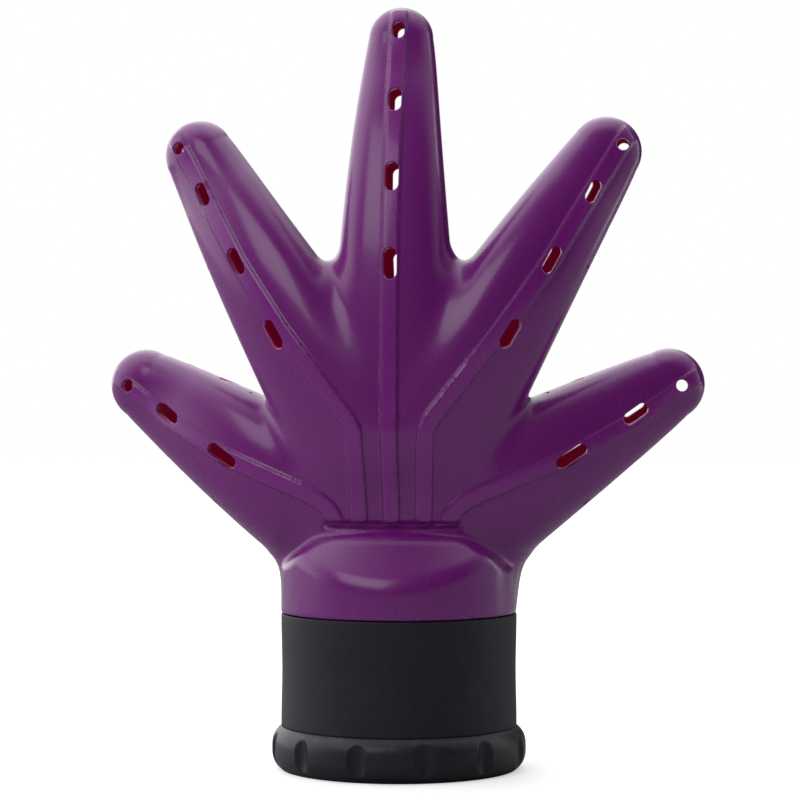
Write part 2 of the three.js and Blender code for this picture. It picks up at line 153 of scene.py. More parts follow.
def makeMouldedGrain():
    takes = {
        "Colour": "colour", "Shade spread": "number", "Roughness": "number",
        "Roughness spread": "number", "Grain scale": "number", "Grain depth": "number",
    }
    gives = {"Colour": "colour", "Roughness": "number", "Normal": "vector"}
    tree, taken, given = newTree("mouldedGrain", "ShaderNodeTree", takes, gives)
    place = put(tree, "ShaderNodeTexCoord").outputs["Object"]
    feeds = {"Vector": place, "Scale": 34.0, "Detail": 3.0}
    broad = put(tree, "ShaderNodeTexNoise", feeds).outputs["Fac"]
    feeds = {"Vector": place, "Scale": taken["Grain scale"], "Detail": 4.0, "Roughness": 0.6}
    fine = put(tree, "ShaderNodeTexNoise", feeds).outputs["Fac"]
    swing = maths(tree, "SUBTRACT", broad, 0.5)
    shade = maths(tree, "MULTIPLY_ADD", swing, taken["Shade spread"], 1.0)
    colour = scaled(tree, taken["Colour"], shade)
    speckle = maths(tree, "SUBTRACT", fine, 0.5)
    both = maths(tree, "ADD", swing, speckle)
    rough = maths(tree, "MULTIPLY_ADD", both, taken["Roughness spread"], taken["Roughness"])
    feeds = {"Strength": 0.6, "Distance": taken["Grain depth"], "Height": fine}
    bump = put(tree, "ShaderNodeBump", feeds).outputs["Normal"]
    tree.links.new(colour, given.inputs["Colour"])
    tree.links.new(rough, given.inputs["Roughness"])
    tree.links.new(bump, given.inputs["Normal"])
    return tree


def makeHandledDust():
    takes = {"Colour": "colour", "Dust colour": "colour", "Amount": "number", "Scale": "number"}
    tree, taken, given = newTree("handledDust", "ShaderNodeTree", takes, {"Colour": "colour"})
    place = put(tree, "ShaderNodeTexCoord").outputs["Object"]
    feeds = {"Vector": place, "Scale": taken["Scale"], "Detail": 6.0, "Roughness": 0.7}
    cloud = put(tree, "ShaderNodeTexNoise", feeds).outputs["Fac"]
    facing = put(tree, "ShaderNodeSeparateXYZ", {0: put(tree, "ShaderNodeNewGeometry").outputs["Normal"]})
    upward = ramped(tree, facing.outputs["Z"], -0.2, 1.0, 0.35, 1.0)
    patches = ramped(tree, cloud, 0.45, 0.75)
    share = maths(tree, "MULTIPLY", maths(tree, "MULTIPLY", upward, patches), taken["Amount"])
    mixed = put(tree, "ShaderNodeMix", data_type="RGBA")
    tree.links.new(share, mixed.inputs["Factor"])
    tree.links.new(taken["Colour"], mixed.inputs[6])
    tree.links.new(taken["Dust colour"], mixed.inputs[7])
    tree.links.new(mixed.outputs[2], given.inputs["Colour"])
    return tree


mouldedGrain = makeMouldedGrain()
handledDust = makeHandledDust()

finishes = {
    "gloss purple": {
        "colour": (0.235, 0.0095, 0.255), "shadeSpread": 0.1, "roughness": 0.27, "roughnessSpread": 0.08,
        "grainScale": 1500, "grainDepth": 0.0000008, "specular": 0.6, "coat": 0.3, "coatRoughness": 0.08,
        # the rib's lighter band is a painted highlight, and its darker edge lines are painted shade
        "rib": {"width": 4.9, "edge": 0.45, "height": 0.0003, "paintedLight": 0.16, "paintedShade": 0.24},
    },
    "purple inside": {
        # redder than the outside: partly the plastic's own colour, partly painted light that comes through
        # the thin wall
        "colour": (0.3, 0.004, 0.06), "shadeSpread": 0.3, "roughness": 0.36, "roughnessSpread": 0.12,
        "grainScale": 900, "grainDepth": 0.000005, "specular": 0.4,
        "paintedGlow": (1.0, 0.004, 0.15), "paintedGlowStrength": 0.05,  # painted glow: light that comes through the wall
    },
    # light pink: a painted rim highlight where light catches and comes through the vent's rounded edge
    "vent edge painted rim light": {
        "colour": (0.75, 0.2, 0.5), "shadeSpread": 0.25, "roughness": 0.24, "roughnessSpread": 0.08,
        "grainScale": 1200, "grainDepth": 0.000003, "specular": 0.6, "coat": 0.3, "coatRoughness": 0.1,
    },
    "matte black": {
        "colour": (0.018, 0.0165, 0.032), "shadeSpread": 0.25, "roughness": 0.56, "roughnessSpread": 0.12,
        "grainScale": 2600, "grainDepth": 0.00001, "specular": 0.42,
        "dust": 0.05,
    },
    "satin black": {
        "colour": (0.0175, 0.0165, 0.029), "shadeSpread": 0.3, "roughness": 0.4, "roughnessSpread": 0.14,
        "grainScale": 2400, "grainDepth": 0.000008, "specular": 0.5,
        "dust": 0.07,
    },
    "claw grey": {
        "colour": (0.03, 0.03, 0.034), "shadeSpread": 0.25, "roughness": 0.46, "roughnessSpread": 0.14,
        "grainScale": 1600, "grainDepth": 0.00001, "specular": 0.5,
        "dust": 0.05,
    },
    "soft rubber": {
        "colour": (0.016, 0.016, 0.018), "shadeSpread": 0.35, "roughness": 0.72, "roughnessSpread": 0.14,
        "grainScale": 2200, "grainDepth": 0.00002, "specular": 0.35, "coatRoughness": 0.3,
        "dust": 0.12,
    },
    "spring steel": {
        "colour": (0.56, 0.56, 0.58), "shadeSpread": 0.2, "roughness": 0.3, "roughnessSpread": 0.2,
        "grainScale": 3000, "grainDepth": 0.00001, "specular": 0.5, "metallic": 1,
    },
}


# Sharp edges along the ribs, from the distance that each point of the shell carries. The edges are bumped,
# and painted: the raised band is painted lighter as a painted highlight, with a painted shade line along
# each edge.
# A shell without ribs carries none, so its distance reads zero and counts as far away.
def drawRibs(tree, colour, normal, rib):
    read = put(tree, "ShaderNodeAttribute", attribute_name="ribAway").outputs["Fac"]
    marked = maths(tree, "GREATER_THAN", read, 0.0)
    half, edge = rib["width"] / 2, rib["edge"] / 2
    raisedUp = maths(tree, "MULTIPLY", ramped(tree, read, half + edge, half - edge), marked)
    fromEdge = maths(tree, "ABSOLUTE", maths(tree, "SUBTRACT", read, half))
    line = maths(tree, "MULTIPLY", ramped(tree, fromEdge, rib["edge"], 0.0), marked)
    # the raised band painted lighter (painted highlight) and each edge painted darker (painted shade)
    paintedLight = maths(tree, "MULTIPLY_ADD", raisedUp, rib["paintedLight"], 1.0)
    shade = maths(tree, "SUBTRACT", paintedLight, maths(tree, "MULTIPLY", line, rib["paintedShade"]))
    feeds = {"Strength": 1.0, "Distance": rib["height"], "Height": raisedUp, "Normal": normal}
    return scaled(tree, colour, shade), put(tree, "ShaderNodeBump", feeds).outputs["Normal"]


def makePlastic(name, finish):
    material = bpy.data.materials.new(name)
    material.use_nodes = True
    tree = material.node_tree
    shader = tree.nodes["Principled BSDF"]
    grain = put(tree, "ShaderNodeGroup", node_tree=mouldedGrain)
    grain.inputs["Colour"].default_value = (*finish["colour"], 1)
    grain.inputs["Shade spread"].default_value = finish["shadeSpread"]
    grain.inputs["Roughness"].default_value = finish["roughness"]
    grain.inputs["Roughness spread"].default_value = finish["roughnessSpread"]
    grain.inputs["Grain scale"].default_value = finish["grainScale"]
    grain.inputs["Grain depth"].default_value = finish["grainDepth"]
    colour = grain.outputs["Colour"]
    if "dust" in finish:
        dust = put(tree, "ShaderNodeGroup", node_tree=handledDust)
        tree.links.new(colour, dust.inputs["Colour"])
        dust.inputs["Dust colour"].default_value = (0.45, 0.43, 0.41, 1)
        dust.inputs["Amount"].default_value = finish["dust"]
        dust.inputs["Scale"].default_value = 260
        colour = dust.outputs["Colour"]
    normal = grain.outputs["Normal"]
    if "rib" in finish:
        colour, normal = drawRibs(tree, colour, normal, finish["rib"])
    tree.links.new(colour, shader.inputs["Base Color"])
    tree.links.new(grain.outputs["Roughness"], shader.inputs["Roughness"])
    tree.links.new(normal, shader.inputs["Normal"])
    shader.inputs["Specular IOR Level"].default_value = finish["specular"]
    shader.inputs["Metallic"].default_value = finish.get("metallic", 0)
    shader.inputs["Coat Weight"].default_value = finish.get("coat", 0)
    shader.inputs["Coat Roughness"].default_value = finish.get("coatRoughness", 0.2)
    shader.inputs["Emission Color"].default_value = (*finish.get("paintedGlow", (1, 1, 1)), 1)
    shader.inputs["Emission Strength"].default_value = finish.get("paintedGlowStrength", 0)
    return material


plastics = {name: makePlastic(name, finish) for name, finish in finishes.items()}
print("materials made")


# Mesh helpers

def meshObject(name, points, faces, material):
    mesh = bpy.data.meshes.new(name)
    mesh.from_pydata((points * millimetre).tolist(), [], faces)
    mesh.materials.append(material)
    made = bpy.data.objects.new(name, mesh)
    bpy.context.scene.collection.objects.link(made)
    return made


def closedMesh(name, points, faces, material):
    points = np.asarray(points, float)
    faces = [list(face) for face in faces]
    volume = 0
    for face in faces:
        a = points[face[0]]
        for b, c in zip(face[1:-1], face[2:]):
            volume += np.dot(a, np.cross(points[b], points[c]))
    if volume < 0:
        faces = [face[::-1] for face in faces]
    return meshObject(name, points, faces, material)


def quickMesh(name, points, faces, material):
    a, b, c, d = (points[faces[:, column]] for column in range(4))
    volume = (a * np.cross(b, c)).sum() + (a * np.cross(c, d)).sum()
    if volume < 0:
        faces = faces[:, ::-1]
    return meshObject(name, points, faces.tolist(), material)


def freeze(piece):
    seen = piece.evaluated_get(bpy.context.evaluated_depsgraph_get())
    mesh = bpy.data.meshes.new_from_object(seen)
    piece.modifiers.clear()
    piece.data = mesh
    return piece


def runTree(piece, tree, values):
    step = piece.modifiers.new(tree.name, "NODES")
    step.node_group = tree
    for item in tree.interface.items_tree:
        if item.in_out == "INPUT" and item.name in values:
            step[item.identifier] = values[item.name]
    return freeze(piece)


def combine(piece, other, operation="DIFFERENCE"):
    step = piece.modifiers.new("combine", "BOOLEAN")
    step.solver = "MANIFOLD"
    step.operation = operation
    step.object = other
    freeze(piece)
    bpy.data.objects.remove(other)
    return piece


def copyOf(piece, name):
    made = bpy.data.objects.new(name, piece.data.copy())
    bpy.context.scene.collection.objects.link(made)
    return made


def smooth(piece, angle=35):
    mesh = piece.data
    mesh.polygons.foreach_set("use_smooth", [True] * len(mesh.polygons))
    mesh.set_sharp_from_angle(angle=math.radians(angle))
    mesh.update()
    return piece


def bevel(piece, width, segments=2, angle=35):
    step = piece.modifiers.new("bevel", "BEVEL")
    step.width = width * millimetre
    step.segments = segments
    step.limit_method = "ANGLE"
    step.angle_limit = math.radians(angle)
    return freeze(piece)


# A loop of [radius, height] corners, each rounded off.
def softLoop(corners, radius, steps=4):
    loop = []
    for index, corner in enumerate(corners):
        here = np.array(corner, float)
        before = np.array(corners[index - 1], float) - here
        after = np.array(corners[(index + 1) % len(corners)], float) - here
        reach = min(radius, 0.4 * np.linalg.norm(before), 0.4 * np.linalg.norm(after))
        start = here + before / np.linalg.norm(before) * reach
        end = here + after / np.linalg.norm(after) * reach
        for step in range(steps + 1):
            t = step / steps
            loop.append((1 - t) ** 2 * start + 2 * t * (1 - t) * here + t * t * end)
    return loop


def turned(name, loop, material, segments=192, start=0, sweep=360):
    whole = sweep == 360
    rows = segments if whole else segments + 1
    angles = np.radians(start + np.arange(rows) * sweep / segments)
    loop = np.array(loop, float)
    count = len(loop)
    points = np.stack([
        np.outer(np.cos(angles), loop[:, 0]),
        np.outer(np.sin(angles), loop[:, 0]),
        np.outer(np.ones(rows), loop[:, 1]),
    ], 2).reshape(-1, 3)
    faces = []
    for row in range(segments):
        following = (row + 1) % rows
        for index in range(count):
            ahead = (index + 1) % count
            faces.append([row * count + index, row * count + ahead,
                          following * count + ahead, following * count + index])
    if not whole:
        faces.append(list(range(count))[::-1])
        faces.append([segments * count + index for index in range(count)])
    return closedMesh(name, points, faces, material)


# A flat outline raised from low to high.
def raised(name, outline, low, high, material):
    count = len(outline)
    points = [[x, y, z] for z in (low, high) for x, y in outline]
    faces = [list(range(count))[::-1], [count + index for index in range(count)]]
    for index in range(count):
        ahead = (index + 1) % count
        faces.append([index, ahead, count + ahead, count + index])
    return closedMesh(name, points, faces, material)


def post(name, radius, low, high, material, segments=160):
    turns = np.arange(segments) * 2 * math.pi / segments
    outline = [(radius * math.cos(turn), radius * math.sin(turn)) for turn in turns]
    return raised(name, outline, low, high, material)


# Copies of a shape, set evenly around the upright axis.
def makeAroundAxis():
    tree, taken, given = newGeometryTree("aroundAxis", {"Count": "count", "First angle": "number"})
    feeds = {"Count": taken["Count"], "Offset": (0, 0, 0)}
    line = put(tree, "GeometryNodeMeshLine", feeds).outputs[0]
    number = put(tree, "GeometryNodeInputIndex").outputs[0]
    share = maths(tree, "DIVIDE", number, taken["Count"])
    angle = maths(tree, "MULTIPLY_ADD", share, 2 * math.pi, taken["First angle"])
    turn = put(tree, "ShaderNodeCombineXYZ", {"Z": angle}).outputs[0]
    feeds = {"Points": line, "Instance": taken["Geometry"], "Rotation": turn}
    copies = put(tree, "GeometryNodeInstanceOnPoints", feeds).outputs[0]
    endTree(tree, copies, taken, given)
    return tree


aroundAxis = makeAroundAxis()

# The hand: its outside as a field, below zero inside

handSizes = {
    "collarRadius": 35.3,
    "collarBottom": 46.6,
    "collarEdge": 0.7,
    "wall": 2.2,
    "partingGap": 0.22,
    "webBlend": 4.5,
    "palmBlend": 12,
    "lipBlend": 1.4,
    "creaseHeight": 10,
    "lipHeight": 25.4,
    "lipFaceSlope": 0.67,
    "lipFlat": 18,
    "lipFall": 0.07,
    "creaseRise": 0.01,
    "creaseBlend": 1.8,
    "tipEase": 14, "lipDrop": 9, "fallBlend": 9, "lipTopBlend": 4.5, "wristDepth": 15,
    "lipFaceEnd": 12,
    "trench": (73.5, 1.0, 1.4, 19),  # height, half width, depth and reach to each side, above the lip
    "sectionPower": 2.4,
    "spigotOuter": 32.3,
    "spigotInner": 30.1,
    "spigotBottom": 28.6,
    "clipGroove": (31.4, 40.3, 42.1),  # radius, low and high side
    "outsideCell": 0.65,
    "insideCell": 1.8,
    "partingCell": 2,
}

palmSizes = {
    "tip": (0, 120.6), "length": 54, "lean": 0, "roll": 0, "width": (33, 36), "depth": (26, 17.5),
    "front": (-22.5, -25), "curl": 1, "vents": [],
}

# tip: centre of the round end (X, Z). width, depth, front: at root and tip.
# vents: distance back from the tip's centre, length, width.
fingerSizes = {
    "middle": {
        "tip": (0, 219.2), "length": 114, "lean": 0, "roll": 0, "width": (20.5, 9.7), "depth": (21, 8.6),
        "front": (-28.3, 0.4), "curl": 2.8,
        "vents": [(-1.7, 5.2, 3.6), (20.4, 6.8, 3.8), (43.9, 8.4, 3.9), (69.6, 9.0, 3.9)],
    },
    "index": {
        "tip": (61.8, 184.6), "length": 100, "lean": 31.6, "roll": 25, "width": (21.5, 10.6),
        "depth": (19.5, 8.6), "front": (-25.2, 1), "curl": 2.5,
        "vents": [(-4, 3.6, 3.6), (12.9, 7.2, 3.5), (36.7, 8.4, 3.5), (61.4, 9.0, 3.5)],
    },
    "outer": {
        "tip": (80.6, 114.8), "length": 62, "lean": 59, "roll": 16, "width": (21.5, 10.8),
        "depth": (19, 8.6), "front": (-17, 10.7), "curl": 1.6,
        "vents": [(-3.2, 3.6, 3.6), (13, 8.1, 3.6), (35.5, 10.2, 3.6)],
    },
}


def limbOf(sizes, side):
    lean = math.radians(sizes["lean"])
    return {
        **sizes,
        "tip": (side * sizes["tip"][0], sizes["tip"][1]),
        "along": (side * math.sin(lean), math.cos(lean)),
        "across": (math.cos(lean), -side * math.sin(lean)),
        "roll": side * math.radians(sizes["roll"]),
    }


limbs = [limbOf(palmSizes, 1)]
for sizes in fingerSizes.values():
    for side in ([1] if sizes["tip"][0] == 0 else [-1, 1]):
        limbs.append(limbOf(sizes, side))
fingers = limbs[1:]


def smallerOf(a, b, blend):
    share = np.maximum(blend - np.abs(a - b), 0) / blend
    return np.minimum(a, b) - share * share * blend / 4


def largerOf(a, b, blend):
    return -smallerOf(-a, -b, blend)


def eased(share):
    share = np.clip(share, 0, 1)
    return share * share * (3 - 2 * share)


def between(pair, share):
    return pair[1] + (pair[0] - pair[1]) * share


def placeOn(limb, x, z):
    back = (limb["tip"][0] - x) * limb["along"][0] + (limb["tip"][1] - z) * limb["along"][1]
    rootward = np.clip(back / limb["length"], 0, 1)
    beyond = back - rootward * limb["length"]
    across = (x - limb["tip"][0]) * limb["across"][0] + (z - limb["tip"][1]) * limb["across"][1]
    width = between(limb["width"], rootward ** 0.85)
    depth = between(limb["depth"], rootward ** 1.5)
    # the crest runs out softly over the tip
    softRoot = largerOf(back / limb["length"], 0, handSizes["tipEase"] / limb["length"])
    crest = between(limb["front"][::-1], (1 - np.clip(softRoot, 0, 1)) ** limb["curl"])
    return beyond, across, width, depth, crest + depth * math.cos(limb["roll"])


def limbField(limb, x, y, z):
    beyond, across, width, depth, middle = placeOn(limb, x, z)
    cos, sin = math.cos(limb["roll"]), math.sin(limb["roll"])
    a = np.hypot(across * cos + (y - middle) * sin, beyond) / width
    b = np.abs((y - middle) * cos - across * sin) / depth
    power = handSizes["sectionPower"]
    size = np.maximum((a ** power + b ** power) ** (1 / power), 1e-6)
    slope = np.hypot((a / size) ** (power - 1) / width, (b / size) ** (power - 1) / depth)
    return (size - 1) / np.maximum(slope, 1e-9)


def wristField(x, y, z):
    s = handSizes
    around = np.hypot(x, y) - s["collarRadius"]
    crease = s["collarBottom"] + s["creaseHeight"] + s["creaseRise"] * x * x
    lean = s["lipFaceSlope"] * eased(-y / s["lipFaceEnd"])
    leaning = (around + lean * (z - crease)) / np.hypot(1, lean)
    fall = s["lipFall"] * np.maximum(np.abs(x) - s["lipFlat"], 0) ** 2
    fall = smallerOf(fall, s["lipDrop"], s["fallBlend"])
    top = z - (s["collarBottom"] + s["lipHeight"] - fall)
    bottom = s["collarBottom"] - s["wristDepth"] - z
    side = largerOf(around, leaning, s["creaseBlend"])
    return np.maximum(largerOf(side, top, s["lipTopBlend"]), bottom)


def handField(points):
    x, y, z = points.T
    field = limbField(limbs[0], x, y, z)
    for limb in fingers:
        field = smallerOf(field, limbField(limb, x, y, z), handSizes["webBlend"])
    height, half, depth, reach = handSizes["trench"]
    window = eased(-y / 10) * eased((reach + 3 - np.abs(x)) / 4)
    field = field + depth * window * np.exp(-((z - height) / half) ** 2)
    blend = handSizes["lipBlend"] + (handSizes["palmBlend"] - handSizes["lipBlend"]) * eased((y + 15) / 25)
    return smallerOf(field, wristField(x, y, z), blend)


def outsideField(points):
    return largerOf(handField(points), handSizes["collarBottom"] - points[:, 2], handSizes["collarEdge"])


def hollowField(points):
    floor = handSizes["collarBottom"] + 3 - points[:, 2]
    return largerOf(handField(points) + handSizes["wall"], floor, 0.8)


# Depth of the surface that parts the two shells: the middle of whatever limb is nearest.
def partingDepth(x, z):
    total, weights = 0, 0
    for limb in limbs:
        beyond, across, width, _, middle = placeOn(limb, x, z)
        weight = np.exp(-(np.hypot(across, beyond) - width) / 7)
        total = total + weight * middle
        weights = weights + weight
    wrist = np.exp((handSizes["collarBottom"] + handSizes["lipHeight"] - z) / 4)
    return total / (weights + wrist)


# A net of quads drawn tight around a field's zero level

def slopeAt(field, points):
    step = 0.05
    slope = np.empty_like(points)
    for axis in range(3):
        shift = np.zeros(3)
        shift[axis] = step
        slope[:, axis] = (field(points + shift) - field(points - shift)) / (2 * step)
    return slope


def pulledOn(field, points, rounds):
    for _ in range(rounds):
        slope = slopeAt(field, points)
        steep = np.maximum((slope * slope).sum(1), 0.2)
        points = points - slope * (field(points) / steep)[:, None]
    return points


def netAround(field, low, high, cell):
    block = 5
    counts = [math.ceil((high[axis] - low[axis]) / cell / block) * block for axis in range(3)]
    axes = [low[axis] + cell * np.arange(counts[axis]) for axis in range(3)]
    centres = [axis.reshape(-1, block).mean(1) for axis in axes]
    coarse = field(np.stack(np.meshgrid(*centres, indexing="ij"), 3).reshape(-1, 3))
    coarse = coarse.reshape([len(axis) for axis in centres])
    values = coarse.repeat(block, 0).repeat(block, 1).repeat(block, 2).astype(np.float32)
    near = np.argwhere(np.abs(coarse) < 1.2 * block * cell + 2)
    inner = np.stack(np.meshgrid(*[np.arange(block)] * 3, indexing="ij"), 3).reshape(-1, 3)
    places = (near[:, None] * block + inner[None]).reshape(-1, 3)
    start = np.array(low, float)
    values[tuple(places.T)] = field(start + places * cell)
    inside = values < 0

    corners = inner[(inner < 2).all(1)]
    filled = np.zeros([count - 1 for count in counts], np.int8)
    for i, j, k in corners:
        filled += inside[i:counts[0] - 1 + i, j:counts[1] - 1 + j, k:counts[2] - 1 + k]
    active = np.argwhere((filled > 0) & (filled < 8))
    numbers = np.full(filled.shape, -1, np.int32)
    numbers[tuple(active.T)] = np.arange(len(active))
    sums = np.zeros((len(active), 3))
    hits = np.zeros(len(active))
    for first in corners:
        for axis in range(3):
            if first[axis]:
                continue
            second = first.copy()
            second[axis] = 1
            a = values[tuple((active + first).T)]
            b = values[tuple((active + second).T)]
            crossed = (a < 0) != (b < 0)
            share = np.where(crossed, a / np.where(crossed, a - b, 1), 0)
            sums += crossed[:, None] * (first + share[:, None] * (second - first))
            hits += crossed
    points = start + (active + sums / hits[:, None]) * cell

    quads = []
    for axis in range(3):
        u, v = (axis + 1) % 3, (axis + 2) % 3
        here = np.delete(inside, -1, axis)
        there = np.delete(inside, 0, axis)
        edges = np.argwhere(here != there)
        edges = edges[(edges[:, u] > 0) & (edges[:, v] > 0)]
        ring = []
        for stepU, stepV in ((1, 1), (0, 1), (0, 0), (1, 0)):
            beside = edges.copy()
            beside[:, u] -= stepU
            beside[:, v] -= stepV
            ring.append(numbers[tuple(beside.T)])
        ring = np.stack(ring, 1)
        outward = here[tuple(edges.T)]
        quads.append(np.where(outward[:, None], ring, ring[:, ::-1]))
    return points, np.concatenate(quads)


# Evens out the net, then draws it back onto the surface.
def relaxed(field, points, quads, rounds=2):
    for _ in range(rounds):
        sums = np.zeros_like(points)
        meets = np.zeros(len(points))
        for column in range(4):
            ahead = quads[:, (column + 1) % 4]
            for axis in range(3):
                sums[:, axis] += np.bincount(quads[:, column], points[ahead, axis], len(points))
            meets += np.bincount(quads[:, column], minlength=len(points))
        points = pulledOn(field, 0.4 * points + 0.6 * sums / meets[:, None], 1)
    return pulledOn(field, points, 2)


reachOfHand = ((-97, -46, 36), (97, 50, 234))


def netPiece(name, field, cell, material, snap=None):
    points, quads = netAround(field, *reachOfHand, cell)
    points = relaxed(field, pulledOn(field, points, 2), quads)
    if snap:
        points = pulledOn(field, snap(points), 2)
    print(name, "net of", len(quads), "quads")
    return quickMesh(name, points, quads, material)


# Ribs that run from each line of vents down to the wrist

ribSizes = {
    "width": 4.9,
    "height": 0.8,
    "ramp": 1.3,
    "foot": 73.8,  # height where every rib ends
    "turnsAway": (-0.42, -0.72),  # how far the skin faces front where a rib starts, and where it is full
    "snapReach": 0.45,  # share of the ramp within which points are drawn onto a line
    "frontOnly": 12,  # depth that the snapping stops at
    "hideBy": 6,  # added to the distance where the skin turns away from the front
    "paths": [
        [(0, 236), (0, 72)],
        [(76, 202), (66.2, 185.7), (57.8, 171.1), (45.9, 150.4), (32, 130), (12.2, 104.4), (10.6, 101.4),
         (10.3, 98), (9.3, 72)],
        [(99, 124), (84.1, 113.5), (70.9, 104.2), (51.2, 93.1), (26, 82.6), (21.4, 80.3), (18.4, 77.8),
         (17, 75.4), (16.4, 72)],
    ],
}


def ribSegments():
    for path in ribSizes["paths"]:
        for side in ([1] if path[0][0] == 0 else [-1, 1]):
            for start, end in zip(path, path[1:]):
                yield np.array([side * start[0], start[1]]), np.array([side * end[0], end[1]])


def nearestOnRibs(flat):
    away = np.full(len(flat), 1e9)
    nearest = flat.copy()
    for start, end in ribSegments():
        line = end - start
        share = np.clip((flat - start) @ line / (line @ line), 0, 1)
        foot = start + share[:, None] * line
        distance = np.linalg.norm(flat - foot, axis=1)
        closer = distance < away
        away = np.where(closer, distance, away)
        nearest = np.where(closer[:, None], foot, nearest)
    return away, nearest


# Draws the net's points near a rib's foot line or top line onto that line, so that it runs clean.
def snapToRibs(points):
    flat = points[:, [0, 2]]
    away, nearest = nearestOnRibs(flat)
    outward = (flat - nearest) / np.maximum(away, 1e-9)[:, None]
    moved = points.copy()
    for edge in (-0.5, 0.5):
        line = ribSizes["width"] / 2 + edge * ribSizes["ramp"]
        close = np.abs(away - line) < ribSizes["snapReach"] * ribSizes["ramp"]
        close &= points[:, 1] < ribSizes["frontOnly"]
        moved[close, 0] = nearest[close, 0] + line * outward[close, 0]
        moved[close, 2] = nearest[close, 1] + line * outward[close, 1]
    return moved


# Stores how far each point is from the middle of a rib. The material bumps the rib's edges by it, and paints
# the rib's painted highlight and painted shade lines by it.
def markRibs(shell):
    points = np.empty(len(shell.data.vertices) * 3)
    shell.data.vertices.foreach_get("co", points)
    points = points.reshape(-1, 3) / millimetre
    away = nearestOnRibs(points[:, [0, 2]])[0]
    away = np.maximum(away, ribSizes["width"] / 2 + ribSizes["foot"] - points[:, 2])
    slope = slopeAt(outsideField, points)
    facing = slope[:, 1] / np.maximum(np.linalg.norm(slope, axis=1), 1e-9)
    start, full = ribSizes["turnsAway"]
    away = away + ribSizes["hideBy"] * np.clip((facing - full) / (start - full), 0, 1)
    mark = shell.data.attributes.new("ribAway", "FLOAT", "POINT")
    mark.data.foreach_set("value", away.astype(np.float32))


def makeRibTree():
    takes = {
        "Paths": "object", "Half width": "number", "Ramp": "number", "Height": "number", "Foot": "number",
    }
    tree, taken, given = newGeometryTree("raiseRibs", takes)
    place = put(tree, "GeometryNodeInputPosition").outputs[0]
    x, _, z = put(tree, "ShaderNodeSeparateXYZ", {0: place}).outputs
    normal = put(tree, "GeometryNodeInputNormal").outputs[0]
    flat = put(tree, "ShaderNodeCombineXYZ", {"X": x, "Z": z}).outputs[0]
    paths = put(tree, "GeometryNodeObjectInfo", {"Object": taken["Paths"]}).outputs["Geometry"]
    feeds = {"Geometry": paths, "Sample Position": flat}
    away = put(tree, "GeometryNodeProximity", feeds, target_element="EDGES").outputs["Distance"]
    half = maths(tree, "MULTIPLY", taken["Ramp"], 0.5)
    outer = maths(tree, "ADD", taken["Half width"], half)
    core = maths(tree, "SUBTRACT", taken["Half width"], half)
    profile = ramped(tree, away, outer, core)
    facing = put(tree, "ShaderNodeSeparateXYZ", {0: normal}).outputs["Y"]
    front = ramped(tree, facing, *ribSizes["turnsAway"])
    footEnd = maths(tree, "ADD", taken["Foot"], taken["Ramp"])
    risen = ramped(tree, z, taken["Foot"], footEnd)
    share = maths(tree, "MULTIPLY", maths(tree, "MULTIPLY", profile, front), risen)
    lift = maths(tree, "MULTIPLY", share, taken["Height"])
    feeds = {"Geometry": taken["Geometry"], "Offset": scaled(tree, normal, lift)}
    raisedUp = put(tree, "GeometryNodeSetPosition", feeds).outputs[0]
    endTree(tree, raisedUp, taken, given)
    return tree


def ribPaths():
    points, edges = [], []
    for path in ribSizes["paths"]:
        for side in ([1] if path[0][0] == 0 else [-1, 1]):
            for index, (x, z) in enumerate(path):
                if index:
                    edges.append((len(points) - 1, len(points)))
                points.append((side * x * millimetre, 0, z * millimetre))
    mesh = bpy.data.meshes.new("ribPaths")
    mesh.from_pydata(points, edges, [])
    made = bpy.data.objects.new("ribPaths", mesh)
    bpy.context.scene.collection.objects.link(made)
    return made


# Vents: bars that follow the surface, with a rounded mouth

ventSizes = {
    "rim": 0.55,  # radius of the rounded rim
    "bar": 1.6,  # depth of each step of the bar behind the rim
    "sides": 40,
    "turn": 0.5,  # share of a finger's roll that its vents turn by, except in its tip
    "paintedRimLight": (0.1, 0.6),  # depths between which a face gets a vent edge's painted rim light
    "sideVentPlaces": (0.42, 0.6, 0.78),
    "sideVentLength": 8,
    "sideVentWidth": 1.5,
    "sideVentSetback": 3,
}


